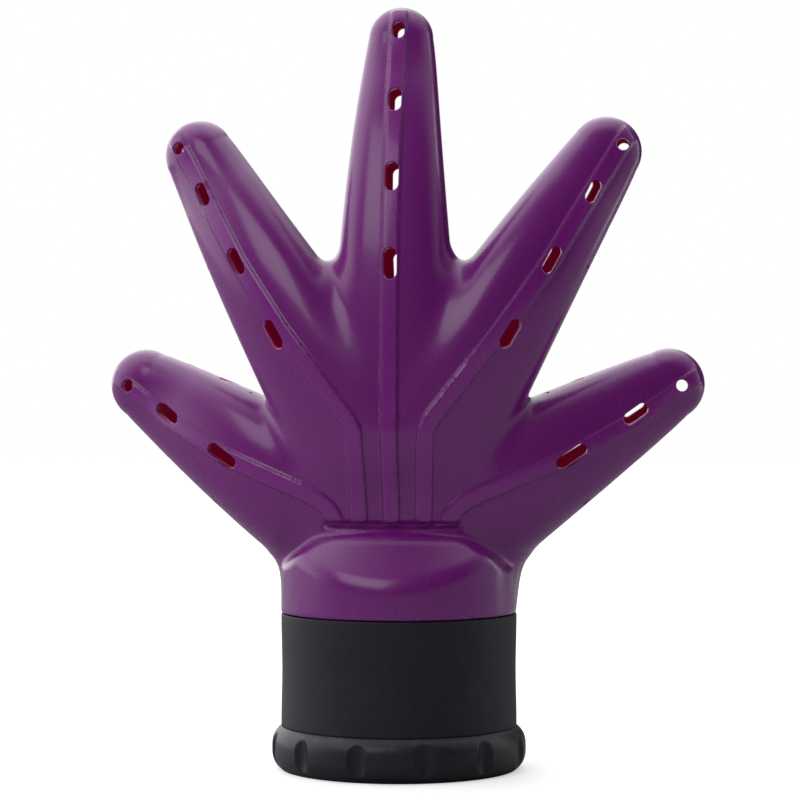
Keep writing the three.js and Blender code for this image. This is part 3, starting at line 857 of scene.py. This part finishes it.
def makeVentTree():
    takes = {"Shell": "object", "Rim": "number", "Bar": "number"}
    tree, taken, given = newGeometryTree("ventBars", takes)
    # a straight bar of eight rings, remembered in its own coordinates
    feeds = {"Vertices": ventSizes["sides"], "Side Segments": 7, "Radius": 1.0, "Depth": 7.0}
    bar = put(tree, "GeometryNodeMeshCylinder", feeds).outputs["Mesh"]
    half = math.pi / ventSizes["sides"]
    turnedBar = put(tree, "GeometryNodeTransform", {"Geometry": bar, "Rotation": (0, 0, half)}).outputs[0]
    own = put(tree, "GeometryNodeInputPosition").outputs[0]
    feeds = {"Geometry": turnedBar, "Name": "own", "Value": own}
    kept = put(tree, "GeometryNodeStoreNamedAttribute", feeds, data_type="FLOAT_VECTOR", domain="POINT")
    feeds = {"Points": taken["Geometry"], "Instance": kept.outputs[0]}
    copies = put(tree, "GeometryNodeInstanceOnPoints", feeds).outputs[0]
    real = put(tree, "GeometryNodeRealizeInstances", {"Geometry": copies}).outputs[0]

    u, v, w = put(tree, "ShaderNodeSeparateXYZ", {0: namedValue(tree, "own", "FLOAT_VECTOR")}).outputs
    ring = maths(tree, "ADD", w, 3.5)
    turn = maths(tree, "MULTIPLY_ADD", maths(tree, "SUBTRACT", ring, 1.0), 22.0, 25.0)
    turn = maths(tree, "RADIANS", maths(tree, "MINIMUM", maths(tree, "MAXIMUM", turn, 25.0), 90.0))
    above = maths(tree, "MAXIMUM", maths(tree, "SUBTRACT", 1.0, ring), 0.0)
    below = maths(tree, "MAXIMUM", maths(tree, "SUBTRACT", ring, 4.0), 0.0)
    flare = maths(tree, "MULTIPLY", maths(tree, "SUBTRACT", 1.0, maths(tree, "SINE", turn)), taken["Rim"])
    flare = maths(tree, "MULTIPLY_ADD", above, 0.0004, flare)
    sink = maths(tree, "MULTIPLY", maths(tree, "SUBTRACT", 1.0, maths(tree, "COSINE", turn)), taken["Rim"])
    sink = maths(tree, "MULTIPLY_ADD", above, -0.004, sink)
    sink = maths(tree, "MULTIPLY_ADD", below, taken["Bar"], sink)

    width = namedValue(tree, "ventWidth")
    length = namedValue(tree, "ventLength")
    radius = maths(tree, "MULTIPLY_ADD", width, 0.5, flare)
    straight = maths(tree, "MULTIPLY", maths(tree, "SUBTRACT", length, width), 0.5)
    straight = maths(tree, "MAXIMUM", straight, 0.0)
    sideways = maths(tree, "MULTIPLY", u, radius)
    endward = maths(tree, "MULTIPLY", maths(tree, "SIGN", v), straight)
    lengthways = maths(tree, "MULTIPLY_ADD", v, radius, endward)
    inward = namedValue(tree, "inward", "FLOAT_VECTOR")
    place = vectorMaths(
        tree, "ADD", namedValue(tree, "centre", "FLOAT_VECTOR"),
        vectorMaths(
            tree, "ADD",
            scaled(tree, namedValue(tree, "sideways", "FLOAT_VECTOR"), sideways),
            scaled(tree, namedValue(tree, "lengthways", "FLOAT_VECTOR"), lengthways),
        ),
    )
    source = vectorMaths(tree, "SUBTRACT", place, scaled(tree, inward, namedValue(tree, "reach")))
    shell = put(tree, "GeometryNodeObjectInfo", {"Object": taken["Shell"]}).outputs["Geometry"]
    feeds = {"Target Geometry": shell, "Source Position": source, "Ray Direction": inward, "Ray Length": 0.2}
    struck = put(tree, "GeometryNodeRaycast", feeds).outputs["Hit Position"]
    final = vectorMaths(tree, "ADD", struck, scaled(tree, inward, sink))
    moved = put(tree, "GeometryNodeSetPosition", {"Geometry": real, "Position": final}).outputs[0]
    endTree(tree, moved, taken, given)
    return tree


# One row for each vent: centre, sideways, lengthways, inward, length, width and ray reach.
def ventRows(side):
    rows = []
    for limb in fingers:
        along = np.array([limb["along"][0], 0, limb["along"][1]])
        across = np.array([limb["across"][0], 0, limb["across"][1]])
        deeper = np.array([0, 1, 0])
        for back, length, width in limb["vents"]:
            turn = ventSizes["turn"] * limb["roll"] if back > 0 else 0
            inward = math.cos(turn) * deeper - math.sin(turn) * across
            sideways = math.cos(turn) * across + math.sin(turn) * deeper
            centre = np.array([limb["tip"][0], 0, limb["tip"][1]]) - back * along
            depth, middle = placeOn(limb, centre[0], centre[2])[3:]
            centre = centre + depth * math.sin(limb["roll"]) * across
            centre[1] = middle - depth * math.cos(limb["roll"])
            if side < 0:
                centre = centre + 2 * depth * inward
            rows.append((centre, sideways, along, side * inward, length, width, 15))
        if side > 0:
            continue
        for share in ventSizes["sideVentPlaces"]:
            root = np.array([limb["tip"][0], 0, limb["tip"][1]]) - (1 - share) * limb["length"] * along
            width = placeOn(limb, root[0], root[2])[2]
            for edge in (-1, 1):
                centre = root + edge * width * across
                centre[1] = partingDepth(centre[0], centre[2]) + ventSizes["sideVentSetback"]
                rows.append((centre, np.array([0, 1, 0]), along, -edge * across,
                             ventSizes["sideVentLength"], ventSizes["sideVentWidth"], 5))
    return rows


def ventBars(shell, side, tree):
    rows = ventRows(side)
    mesh = bpy.data.meshes.new("ventBars")
    mesh.from_pydata([(row[0] * millimetre).tolist() for row in rows], [], [])
    for column, name in enumerate(("centre", "sideways", "lengthways", "inward")):
        factor = millimetre if name == "centre" else 1
        layer = mesh.attributes.new(name, "FLOAT_VECTOR", "POINT")
        layer.data.foreach_set("vector", np.concatenate([row[column] * factor for row in rows]))
    for column, name in ((4, "ventLength"), (5, "ventWidth"), (6, "reach")):
        layer = mesh.attributes.new(name, "FLOAT", "POINT")
        layer.data.foreach_set("value", [row[column] * millimetre for row in rows])
    made = bpy.data.objects.new("ventBars", mesh)
    bpy.context.scene.collection.objects.link(made)
    runTree(made, tree, {
        "Shell": shell, "Rim": ventSizes["rim"] * millimetre, "Bar": ventSizes["bar"] * millimetre,
        "Material": plastics["purple inside"],
    })
    shape = bmesh.new()
    shape.from_mesh(made.data)
    bmesh.ops.recalc_face_normals(shape, faces=shape.faces)
    shape.to_mesh(made.data)
    shape.free()
    return made


# A block that fills everything in front of the parting surface, moved back by an offset.
def frontOfParting(offset):
    cell = handSizes["partingCell"]
    xs = np.arange(-98, 98.1, cell)
    zs = np.arange(20, 238, cell)
    x, z = np.meshgrid(xs, zs, indexing="ij")
    back = partingDepth(x, np.maximum(z, handSizes["collarBottom"])) + offset
    front = np.full_like(x, -70)
    points = np.concatenate([np.stack([x, y, z], 2).reshape(-1, 3) for y in (front, back)])
    across, up = len(xs), len(zs)
    total = across * up
    numbers = np.arange(total).reshape(across, up)
    a, b, c, d = numbers[:-1, :-1], numbers[1:, :-1], numbers[1:, 1:], numbers[:-1, 1:]
    sheet = np.stack([a, b, c, d], 2).reshape(-1, 4)
    rim = np.concatenate([numbers[:, 0], numbers[-1, 1:], numbers[-2::-1, -1], numbers[0, -2:0:-1]])
    ahead = np.roll(rim, -1)
    walls = np.stack([ahead, rim, rim + total, ahead + total], 1)
    return quickMesh("frontOfParting", points, np.concatenate([sheet, sheet[:, ::-1] + total, walls]),
                     plastics["gloss purple"])


# Outside, inside or vent edge, by how deep a face lies under the hand's outside. The vent edge's light pink
# is a painted rim highlight, and the inside's redder colour and glow are partly painted light through the
# wall.
def paintShell(shell):
    mesh = shell.data
    centres = np.empty(len(mesh.polygons) * 3)
    mesh.polygons.foreach_get("center", centres)
    centres = centres.reshape(-1, 3) / millimetre
    depth = -outsideField(centres)
    shallow, deep = ventSizes["paintedRimLight"]
    onRim = (depth > shallow) & (depth < deep)
    lower = centres[:, 2] < handSizes["collarBottom"] + 2
    kinds = np.where(depth >= deep, 1, np.where(onRim, 2, 0))
    kinds = np.where(lower, 0, kinds)
    mesh.materials.clear()
    for name in ("gloss purple", "purple inside", "vent edge painted rim light"):
        mesh.materials.append(plastics[name])
    mesh.polygons.foreach_set("material_index", kinds.astype(np.int32))


def makeHand():
    purple = plastics["gloss purple"]
    hand = netPiece("hand", outsideField, handSizes["outsideCell"], purple, snapToRibs)
    paths = ribPaths()
    runTree(hand, makeRibTree(), {
        "Paths": paths, "Half width": ribSizes["width"] / 2 * millimetre,
        "Ramp": ribSizes["ramp"] * millimetre, "Height": ribSizes["height"] * millimetre,
        "Foot": ribSizes["foot"] * millimetre, "Material": purple,
    })
    bpy.data.objects.remove(paths)
    ventTree = makeVentTree()
    bars = [ventBars(hand, side, ventTree) for side in (1, -1)]
    s = handSizes
    spigot = turned("spigot", softLoop([
        (29, s["spigotBottom"]), (s["spigotOuter"], s["spigotBottom"]),
        (s["spigotOuter"], s["clipGroove"][1]), (s["clipGroove"][0], s["clipGroove"][1]),
        (s["clipGroove"][0], s["clipGroove"][2]), (s["spigotOuter"], s["clipGroove"][2]),
        (s["spigotOuter"], s["collarBottom"] + 2), (29, s["collarBottom"] + 2),
    ], 0.3), purple)
    combine(hand, spigot, "UNION")
    combine(hand, netPiece("hollow", hollowField, s["insideCell"], purple))
    combine(hand, post("bore", s["spigotInner"], s["spigotBottom"] - 1, s["collarBottom"] + 4.5, purple))
    for bar in bars:
        combine(hand, bar)
    dorsal = copyOf(hand, "dorsalShell")
    combine(dorsal, frontOfParting(-s["partingGap"] / 2), "INTERSECT")
    palmar = combine(hand, frontOfParting(s["partingGap"] / 2))
    palmar.name = "palmShell"
    markRibs(dorsal)
    for shell, node in ((dorsal, "dorsal_shell"), (palmar, "palm_shell")):
        paintShell(shell)
        smooth(shell, 32)
        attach(shell, "hand_and_sleeve")
        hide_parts(node)
        print(shell.name, "has", len(shell.data.polygons), "faces")


makeHand()

# The adapter

adapterSizes = {
    "sleeveOuter": 35.25, "sleeveWaist": 0.25, "sleeveInner": 32.6, "sleeveTop": 46.3, "sleeveBottom": 13.1,
    "neckOuter": 34.9, "neckInner": 33.5, "neckLow": 3.1, "ledgeInner": 31, "ledgeLow": 24.3,
    "ledgeHigh": 26.1, "guideTop": 8.5, "edge": 0.35,
    "collarClipLow": 40.6, "ringClipLow": 9.1, "clipWire": 1.2, "clipMouth": 8,
    "sealInner": 19.7, "sealLow": 26.4, "sealHigh": 28.3,
}


def makeSleeve():
    s = adapterSizes
    middle = (s["sleeveTop"] + s["sleeveBottom"]) / 2
    low, high = s["ringClipLow"] - 0.3, s["ringClipLow"] + s["clipWire"] + 0.3
    collarLow, collarHigh = s["collarClipLow"] - 0.3, s["collarClipLow"] + s["clipWire"] + 0.3
    waist = [
        (s["sleeveOuter"] - s["sleeveWaist"] * math.cos(math.pi / 2 * part) ** 2,
         middle + part * (s["sleeveTop"] - middle) * 0.94)
        for part in np.linspace(-1, 1, 13)
    ]
    loop = softLoop([
        (s["neckInner"], s["neckLow"]), (s["neckOuter"], s["neckLow"]),
        (s["neckOuter"], low), (s["neckOuter"] - 0.9, low), (s["neckOuter"] - 0.9, high),
        (s["neckOuter"], high), (s["neckOuter"], s["sleeveBottom"]),
        (s["sleeveOuter"], s["sleeveBottom"]), *waist, (s["sleeveOuter"], s["sleeveTop"]),
        (s["sleeveInner"], s["sleeveTop"]), (s["sleeveInner"], collarHigh),
        (s["sleeveInner"] + 0.9, collarHigh), (s["sleeveInner"] + 0.9, collarLow),
        (s["sleeveInner"], collarLow), (s["sleeveInner"], s["ledgeHigh"]),
        (s["ledgeInner"], s["ledgeHigh"]), (s["ledgeInner"], s["ledgeLow"]),
        (s["sleeveInner"], s["ledgeLow"]), (s["sleeveInner"], s["guideTop"] + 0.3),
        (s["neckInner"], s["guideTop"] + 0.3),
    ], s["edge"])
    sleeve = smooth(turned("adapterSleeve", loop, plastics["matte black"], 256))
    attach(sleeve, "hand_and_sleeve")
    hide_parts("adapter_sleeve")


def makeSeal():
    s = adapterSizes
    beads = []
    for part in np.linspace(0, 1, 37):
        radius = s["sealInner"] + 0.6 + part * 9.4
        beads.append((radius, s["sealLow"] + 0.35 * math.sin(math.pi * 4 * part) ** 2))
    loop = softLoop([
        (s["sealInner"], s["sealLow"]), *beads, (32.3, s["sealLow"]), (32.3, s["sealHigh"]),
        (s["sealInner"], s["sealHigh"]),
    ], 0.4)
    seal = smooth(turned("nozzleSeal", loop, plastics["soft rubber"], 192))
    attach(seal, "hand_and_sleeve")
    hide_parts("nozzle_seal")


def makeClip(name, node, radius, low, firstAngle):
    s = adapterSizes
    wire = s["clipWire"] / 2
    turns = np.arange(16) * math.pi / 8
    loop = [(radius + wire * math.cos(turn), low + wire + wire * math.sin(turn)) for turn in turns]
    mouth = math.degrees(s["clipMouth"] / 2 / radius)
    clip = turned(name, loop, plastics["spring steel"], 120, firstAngle + mouth, 360 - 2 * mouth)
    smooth(clip)
    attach(clip, "hand_and_sleeve")
    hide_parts(node)


makeSleeve()
makeSeal()
makeClip("collarClip", "collar_clip", 32.45, adapterSizes["collarClipLow"], 0)
makeClip("ringClip", "ring_clip", 34.9, adapterSizes["ringClipLow"], 90)
print("sleeve, seal and clips made")

# The grip ring: a turned section, carved by flutes

ringSizes = {
    "height": 12.8, "outer": 38, "inner": 35.2, "bulge": 2.8, "platform": 2.5, "bore": 25.9,
    "clipLow": 8.8, "clipHigh": 10.6, "clipDepth": 0.6,
    "grooveDepth": 1.2, "grooveHalfWidth": 1.1, "pinCircle": 31.9, "travel": 4.5, "turn": 60,
    "flutes": 12, "fluteDepth": 1.5, "fluteWidth": 6.8, "fluteHeight": 22, "flutePhase": 17,
    "fluteEdge": 0.22,
}


def makeFluteTree():
    takes = {
        "Count": "number", "Depth": "number", "Width": "number", "Height": "number", "Phase": "number",
        "Radius": "number", "Middle": "number", "Edge": "number",
    }
    tree, taken, given = newGeometryTree("carveFlutes", takes)
    place = put(tree, "GeometryNodeInputPosition").outputs[0]
    x, y, z = put(tree, "ShaderNodeSeparateXYZ", {0: place}).outputs
    radius = radiusOf(tree, x, y)
    angle = maths(tree, "SUBTRACT", maths(tree, "ARCTAN2", y, x), taken["Phase"])
    pitch = maths(tree, "DIVIDE", 2 * math.pi, taken["Count"])
    halfPitch = maths(tree, "MULTIPLY", pitch, 0.5)
    local = maths(tree, "WRAP", angle, halfPitch, maths(tree, "MULTIPLY", halfPitch, -1.0))
    arc = maths(tree, "MULTIPLY", local, taken["Radius"])
    u = maths(tree, "DIVIDE", arc, maths(tree, "MULTIPLY", taken["Width"], 0.5))
    rise = maths(tree, "SUBTRACT", z, taken["Middle"])
    v = maths(tree, "DIVIDE", rise, maths(tree, "MULTIPLY", taken["Height"], 0.5))
    off = maths(tree, "ADD", maths(tree, "MULTIPLY", u, u), maths(tree, "MULTIPLY", v, v))
    dome = maths(tree, "SQRT", maths(tree, "MAXIMUM", maths(tree, "SUBTRACT", 1.0, off), 0.0))
    outerEdge = maths(tree, "ADD", taken["Radius"], taken["Depth"])
    scoop = maths(tree, "MULTIPLY", maths(tree, "MULTIPLY", dome, 2.0), taken["Depth"])
    scoop = maths(tree, "SUBTRACT", outerEdge, scoop)
    carved = maths(tree, "SMOOTH_MIN", radius, scoop, taken["Edge"])
    share = maths(tree, "DIVIDE", carved, radius)
    feeds = {"X": maths(tree, "MULTIPLY", x, share), "Y": maths(tree, "MULTIPLY", y, share), "Z": z}
    final = put(tree, "ShaderNodeCombineXYZ", feeds).outputs[0]
    feeds = {"Geometry": taken["Geometry"], "Position": final}
    moved = put(tree, "GeometryNodeSetPosition", feeds).outputs[0]
    endTree(tree, moved, taken, given)
    return tree


# One spiral groove, from the open end of a claw's travel to the closed end.
def spiralOutline(halfWidth):
    s = ringSizes
    shares = np.linspace(0, 1, 25)
    turns = -np.radians(s["turn"]) * shares
    radii = s["pinCircle"] - s["travel"] * shares
    inner = [((r - halfWidth) * math.cos(t), (r - halfWidth) * math.sin(t)) for r, t in zip(radii, turns)]
    outer = [((r + halfWidth) * math.cos(t), (r + halfWidth) * math.sin(t)) for r, t in zip(radii, turns)]
    def cap(radius, turn, first):
        centre = (radius * math.cos(turn), radius * math.sin(turn))
        angles = turn + first + np.linspace(0, math.pi, 9)[1:-1]
        return [(centre[0] + halfWidth * math.cos(a), centre[1] + halfWidth * math.sin(a)) for a in angles]
    return inner + cap(radii[-1], turns[-1], math.pi) + outer[::-1] + cap(radii[0], turns[0], 0)


def makeGripRing():
    s = ringSizes
    outline = []
    for part in np.linspace(0, 1, 45):
        height = s["height"] * (0.5 - 0.5 * math.cos(math.pi * part))
        outline.append((s["outer"] - s["bulge"] * abs(2 * height / s["height"] - 1) ** 3, height))
    inside = softLoop([
        (s["inner"], s["height"]), (s["inner"], s["clipHigh"]), (s["inner"] + s["clipDepth"], s["clipHigh"]),
        (s["inner"] + s["clipDepth"], s["clipLow"]), (s["inner"], s["clipLow"]), (s["inner"], s["platform"]),
        (s["bore"], s["platform"]), (s["bore"], 0),
    ], 0.25, 3)
    # the first corner of the inside loop rounds the top edge of the outline
    loop = [np.array(corner) for corner in outline[1:-1]] + inside[1:]
    ring = turned("gripRing", loop, plastics["satin black"], 600)
    runTree(ring, makeFluteTree(), {
        "Count": float(s["flutes"]), "Depth": s["fluteDepth"] * millimetre,
        "Width": s["fluteWidth"] * millimetre, "Height": s["fluteHeight"] * millimetre,
        "Phase": math.radians(s["flutePhase"]), "Radius": s["outer"] * millimetre,
        "Middle": s["height"] / 2 * millimetre, "Edge": s["fluteEdge"] * millimetre,
        "Material": plastics["satin black"],
    })
    groove = raised("spiralGroove", spiralOutline(s["grooveHalfWidth"]), s["platform"] - s["grooveDepth"],
                    s["platform"] + 1, plastics["satin black"])
    runTree(groove, aroundAxis, {"Count": 6, "First angle": 0.0, "Material": plastics["satin black"]})
    combine(ring, groove)
    smooth(ring, 40)
    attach(ring, "grip_ring")
    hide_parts("grip_ring")
    print("grip ring has", len(ring.data.polygons), "faces")


makeGripRing()

# Claws, their pads and the plate that guides them

clawSizes = {
    "count": 6, "inner": 27.7, "outer": 29.7, "halfAngle": 14.5, "low": 2.8, "top": 24,
    "footOuter": 33.1, "footHalfWidth": 5, "footThickness": 3, "pinRadius": 0.8, "pinInset": 1.2,
    "pinLength": 0.9, "edge": 0.3,
    "padInner": 25.8, "padOuter": 27.4, "padLow": 3.8, "padTop": 23, "padHalfAngle": 13.5,
    "ribPitch": 1.6, "ribDepth": 0.4,
    "guideLow": 3.1, "guideChannelTop": 6.1, "guideTop": 8.5, "guideInner": 25.9, "guideOuter": 33.2,
    "runGap": 0.4,
}


def makeClaw():
    s = clawSizes
    grey = plastics["claw grey"]
    half = s["halfAngle"]
    upright = turned("claw", [
        (s["inner"], s["low"]), (s["outer"], s["low"]), (s["outer"], s["top"]), (s["inner"], s["top"]),
    ], grey, 24, -half, 2 * half)
    wide = s["footHalfWidth"]
    arc = math.asin(wide / s["footOuter"])
    outline = [(s["inner"] + 1, -wide)]
    turns = np.linspace(-arc, arc, 13)
    outline += [(s["footOuter"] * math.cos(t), s["footOuter"] * math.sin(t)) for t in turns]
    outline += [(s["inner"] + 1, wide)]
    combine(upright, raised("foot", outline, s["low"], s["low"] + s["footThickness"], grey), "UNION")
    turns = np.arange(24) * math.pi / 12
    centre = s["footOuter"] - s["pinInset"]
    outline = [(centre + s["pinRadius"] * math.cos(t), s["pinRadius"] * math.sin(t)) for t in turns]
    combine(upright, raised("pin", outline, s["low"] - s["pinLength"], s["low"] + 0.5, grey), "UNION")
    return bevel(upright, s["edge"], 3)


def makePadTree():
    takes = {"Pitch": "number", "Depth": "number", "Inner": "number", "Low": "number", "Top": "number"}
    tree, taken, given = newGeometryTree("gripRibs", takes)
    place = put(tree, "GeometryNodeInputPosition").outputs[0]
    x, y, z = put(tree, "ShaderNodeSeparateXYZ", {0: place}).outputs
    radius = radiusOf(tree, x, y)
    onFace = maths(tree, "LESS_THAN", maths(tree, "SUBTRACT", radius, taken["Inner"]), 0.0003)
    rise = maths(tree, "SUBTRACT", z, taken["Low"])
    turns = maths(tree, "DIVIDE", rise, taken["Pitch"])
    wave = maths(tree, "COSINE", maths(tree, "MULTIPLY", turns, 2 * math.pi))
    hollow = maths(tree, "MULTIPLY_ADD", wave, -0.5, 0.5)
    hollow = maths(tree, "MULTIPLY", maths(tree, "MULTIPLY", hollow, taken["Depth"]), onFace)
    share = maths(tree, "DIVIDE", maths(tree, "ADD", radius, hollow), radius)
    feeds = {"X": maths(tree, "MULTIPLY", x, share), "Y": maths(tree, "MULTIPLY", y, share), "Z": z}
    final = put(tree, "ShaderNodeCombineXYZ", feeds).outputs[0]
    feeds = {"Geometry": taken["Geometry"], "Position": final}
    moved = put(tree, "GeometryNodeSetPosition", feeds).outputs[0]
    endTree(tree, moved, taken, given)
    return tree


def makePad():
    s = clawSizes
    rubber = plastics["soft rubber"]
    face = [(s["padInner"], height) for height in np.linspace(s["padTop"] - 0.3, s["padLow"] + 0.3, 120)]
    loop = [
        (s["padInner"] + 0.3, s["padLow"]), (s["padOuter"] - 0.2, s["padLow"]),
        (s["padOuter"], s["padLow"] + 0.2), (s["padOuter"], s["padTop"] - 0.2),
        (s["padOuter"] - 0.2, s["padTop"]), (s["padInner"] + 0.3, s["padTop"]), *face,
    ]
    pad = turned("clawPad", loop, rubber, 24, -s["padHalfAngle"], 2 * s["padHalfAngle"])
    runTree(pad, makePadTree(), {
        "Pitch": s["ribPitch"] * millimetre, "Depth": s["ribDepth"] * millimetre,
        "Inner": s["padInner"] * millimetre, "Low": s["padLow"] * millimetre,
        "Top": s["padTop"] * millimetre, "Material": rubber,
    })
    return pad


def makeGuidePlate():
    s = clawSizes
    grey = plastics["claw grey"]
    plate = turned("guidePlate", [
        (s["guideInner"], s["guideLow"]), (s["guideOuter"], s["guideLow"]),
        (s["guideOuter"], s["guideTop"]), (s["guideInner"], s["guideTop"]),
    ], grey, 144)
    half = s["outer"] * math.sin(math.radians(s["halfAngle"])) + s["runGap"]
    wide = s["footHalfWidth"] + s["runGap"]
    for name, outer, reach, top in (
        ("slot", s["outer"] + s["runGap"], half, s["guideTop"] + 1),
        ("channel", s["guideOuter"] + 2, wide, s["guideChannelTop"]),
    ):
        outline = [(13, -reach), (outer, -reach), (outer, reach), (13, reach)]
        cutter = raised(name, outline, 0, top, grey)
        runTree(cutter, aroundAxis, {"Count": s["count"], "First angle": 0.0, "Material": grey})
        combine(plate, cutter)
    bevel(plate, 0.2, 2)
    smooth(plate)
    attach(plate, "hand_and_sleeve")
    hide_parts("guide_plate")


def addClaws():
    claw, pad = smooth(makeClaw()), smooth(makePad(), 50)
    for index in range(clawSizes["count"]):
        spin = Matrix.Rotation(2 * math.pi * index / clawSizes["count"], 4, "Z")
        number = str(index + 1)
        for shape, name, node, finish in (
            (claw, "claw" + number, "claw_" + number, "claw_plastic"),
            (pad, "clawPad" + number, "claw_pad_" + number, "pad_rubber"),
        ):
            piece = copyOf(shape, name)
            piece.data.transform(spin)
            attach(piece, "claw_" + number)
            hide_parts(node)
    bpy.data.objects.remove(claw)
    bpy.data.objects.remove(pad)


makeGuidePlate()
addClaws()
print("claws, pads and guide plate made")

# Floor and light

studio = {
    "floorSize": 8,
    "floorColour": (0.93, 0.93, 0.935),
    "floorGlow": 0.5,
    "floorInReflections": 0.4,
    "backdrop": 1.0,
    "around": 1.5,
    "darkSides": [
        # angle from the camera's side, where the dark starts and is full, share of the light left
        (0, -0.1, 0.5, 0.06),
        (90, 0.1, 0.8, 0.35),
        (140, 0.74, 0.92, 0.02),
    ],
    "lamps": [
        # name, angle from the camera's side, distance, height, width and height, brightness
        ("topLamp", -34, 1.1, 0.9, (0.9, 0.7), 1.8),
        ("rightLamp", 114, 0.9, 0.2, (0.14, 0.9), 1.7),
    ],
}


def addStage():
    size = studio["floorSize"] / 2
    mesh = bpy.data.meshes.new("floor")
    corners = [(-size, -size, 0), (size, -size, 0), (size, size, 0), (-size, size, 0)]
    mesh.from_pydata(corners, [], [(0, 1, 2, 3)])
    floor = bpy.data.objects.new("floor", mesh)
    bpy.context.scene.collection.objects.link(floor)
    paint = bpy.data.materials.new("pale floor")
    paint.use_nodes = True
    tree = paint.node_tree
    shader = tree.nodes["Principled BSDF"]
    place = put(tree, "ShaderNodeTexCoord").outputs["Object"]
    cloud = put(tree, "ShaderNodeTexNoise", {"Vector": place, "Scale": 3.0}).outputs["Fac"]
    shade = ramped(tree, cloud, 0.3, 0.7, 0.985, 1.0)
    colour = scaled(tree, studio["floorColour"], shade)
    seen = put(tree, "ShaderNodeLightPath").outputs["Is Camera Ray"]
    share = ramped(tree, seen, 0.0, 1.0, studio["floorInReflections"], 1.0)
    tree.links.new(scaled(tree, colour, share), shader.inputs["Base Color"])
    paintedGlow = maths(tree, "MULTIPLY", seen, studio["floorGlow"])
    tree.links.new(paintedGlow, shader.inputs["Emission Strength"])
    shader.inputs["Roughness"].default_value = 0.7
    shader.inputs["Specular IOR Level"].default_value = 0.2
    shader.inputs["Emission Color"].default_value = (1, 1, 1, 1)
    mesh.materials.append(paint)


def towardAngle(angle):
    turn = math.radians(cameraView["azimuth"] + angle)
    return Vector((math.sin(turn), -math.cos(turn), 0))


# White all round, but darker towards the camera, on the right and in a band behind on the right.
def addWorld():
    world = bpy.data.worlds.new("studio")
    bpy.context.scene.world = world
    world.use_nodes = True
    tree = world.node_tree
    direction = put(tree, "ShaderNodeTexCoord").outputs["Generated"]
    strength = studio["around"]
    for angle, begins, full, left in studio["darkSides"]:
        facing = vectorMaths(tree, "DOT_PRODUCT", direction, towardAngle(angle))
        strength = maths(tree, "MULTIPLY", ramped(tree, facing, begins, full, 1.0, left), strength)
    seen = put(tree, "ShaderNodeLightPath").outputs["Is Camera Ray"]
    mixed = put(tree, "ShaderNodeMix", {"Factor": seen, 2: strength, 3: studio["backdrop"]}).outputs[0]
    tree.links.new(mixed, tree.nodes["Background"].inputs["Strength"])
    tree.nodes["Background"].inputs["Color"].default_value = (1, 1, 1, 1)


def addLamps():
    target = Vector((0, 0, 0.12))
    for name, angle, away, height, size, brightness in studio["lamps"]:
        data = bpy.data.lights.new(name, "AREA")
        data.shape = "RECTANGLE"
        data.size, data.size_y = size
        data.energy = brightness * math.pi * size[0] * size[1]
        lamp = bpy.data.objects.new(name, data)
        lamp.location = towardAngle(angle) * away + Vector((0, 0, height))
        lamp.rotation_euler = (target - lamp.location).to_track_quat("-Z", "Y").to_euler()
        lamp.visible_camera = False
        bpy.context.scene.collection.objects.link(lamp)


addStage()
addWorld()
addLamps()
bpy.context.scene.view_settings.view_transform = "Standard"
print("floor and light made")
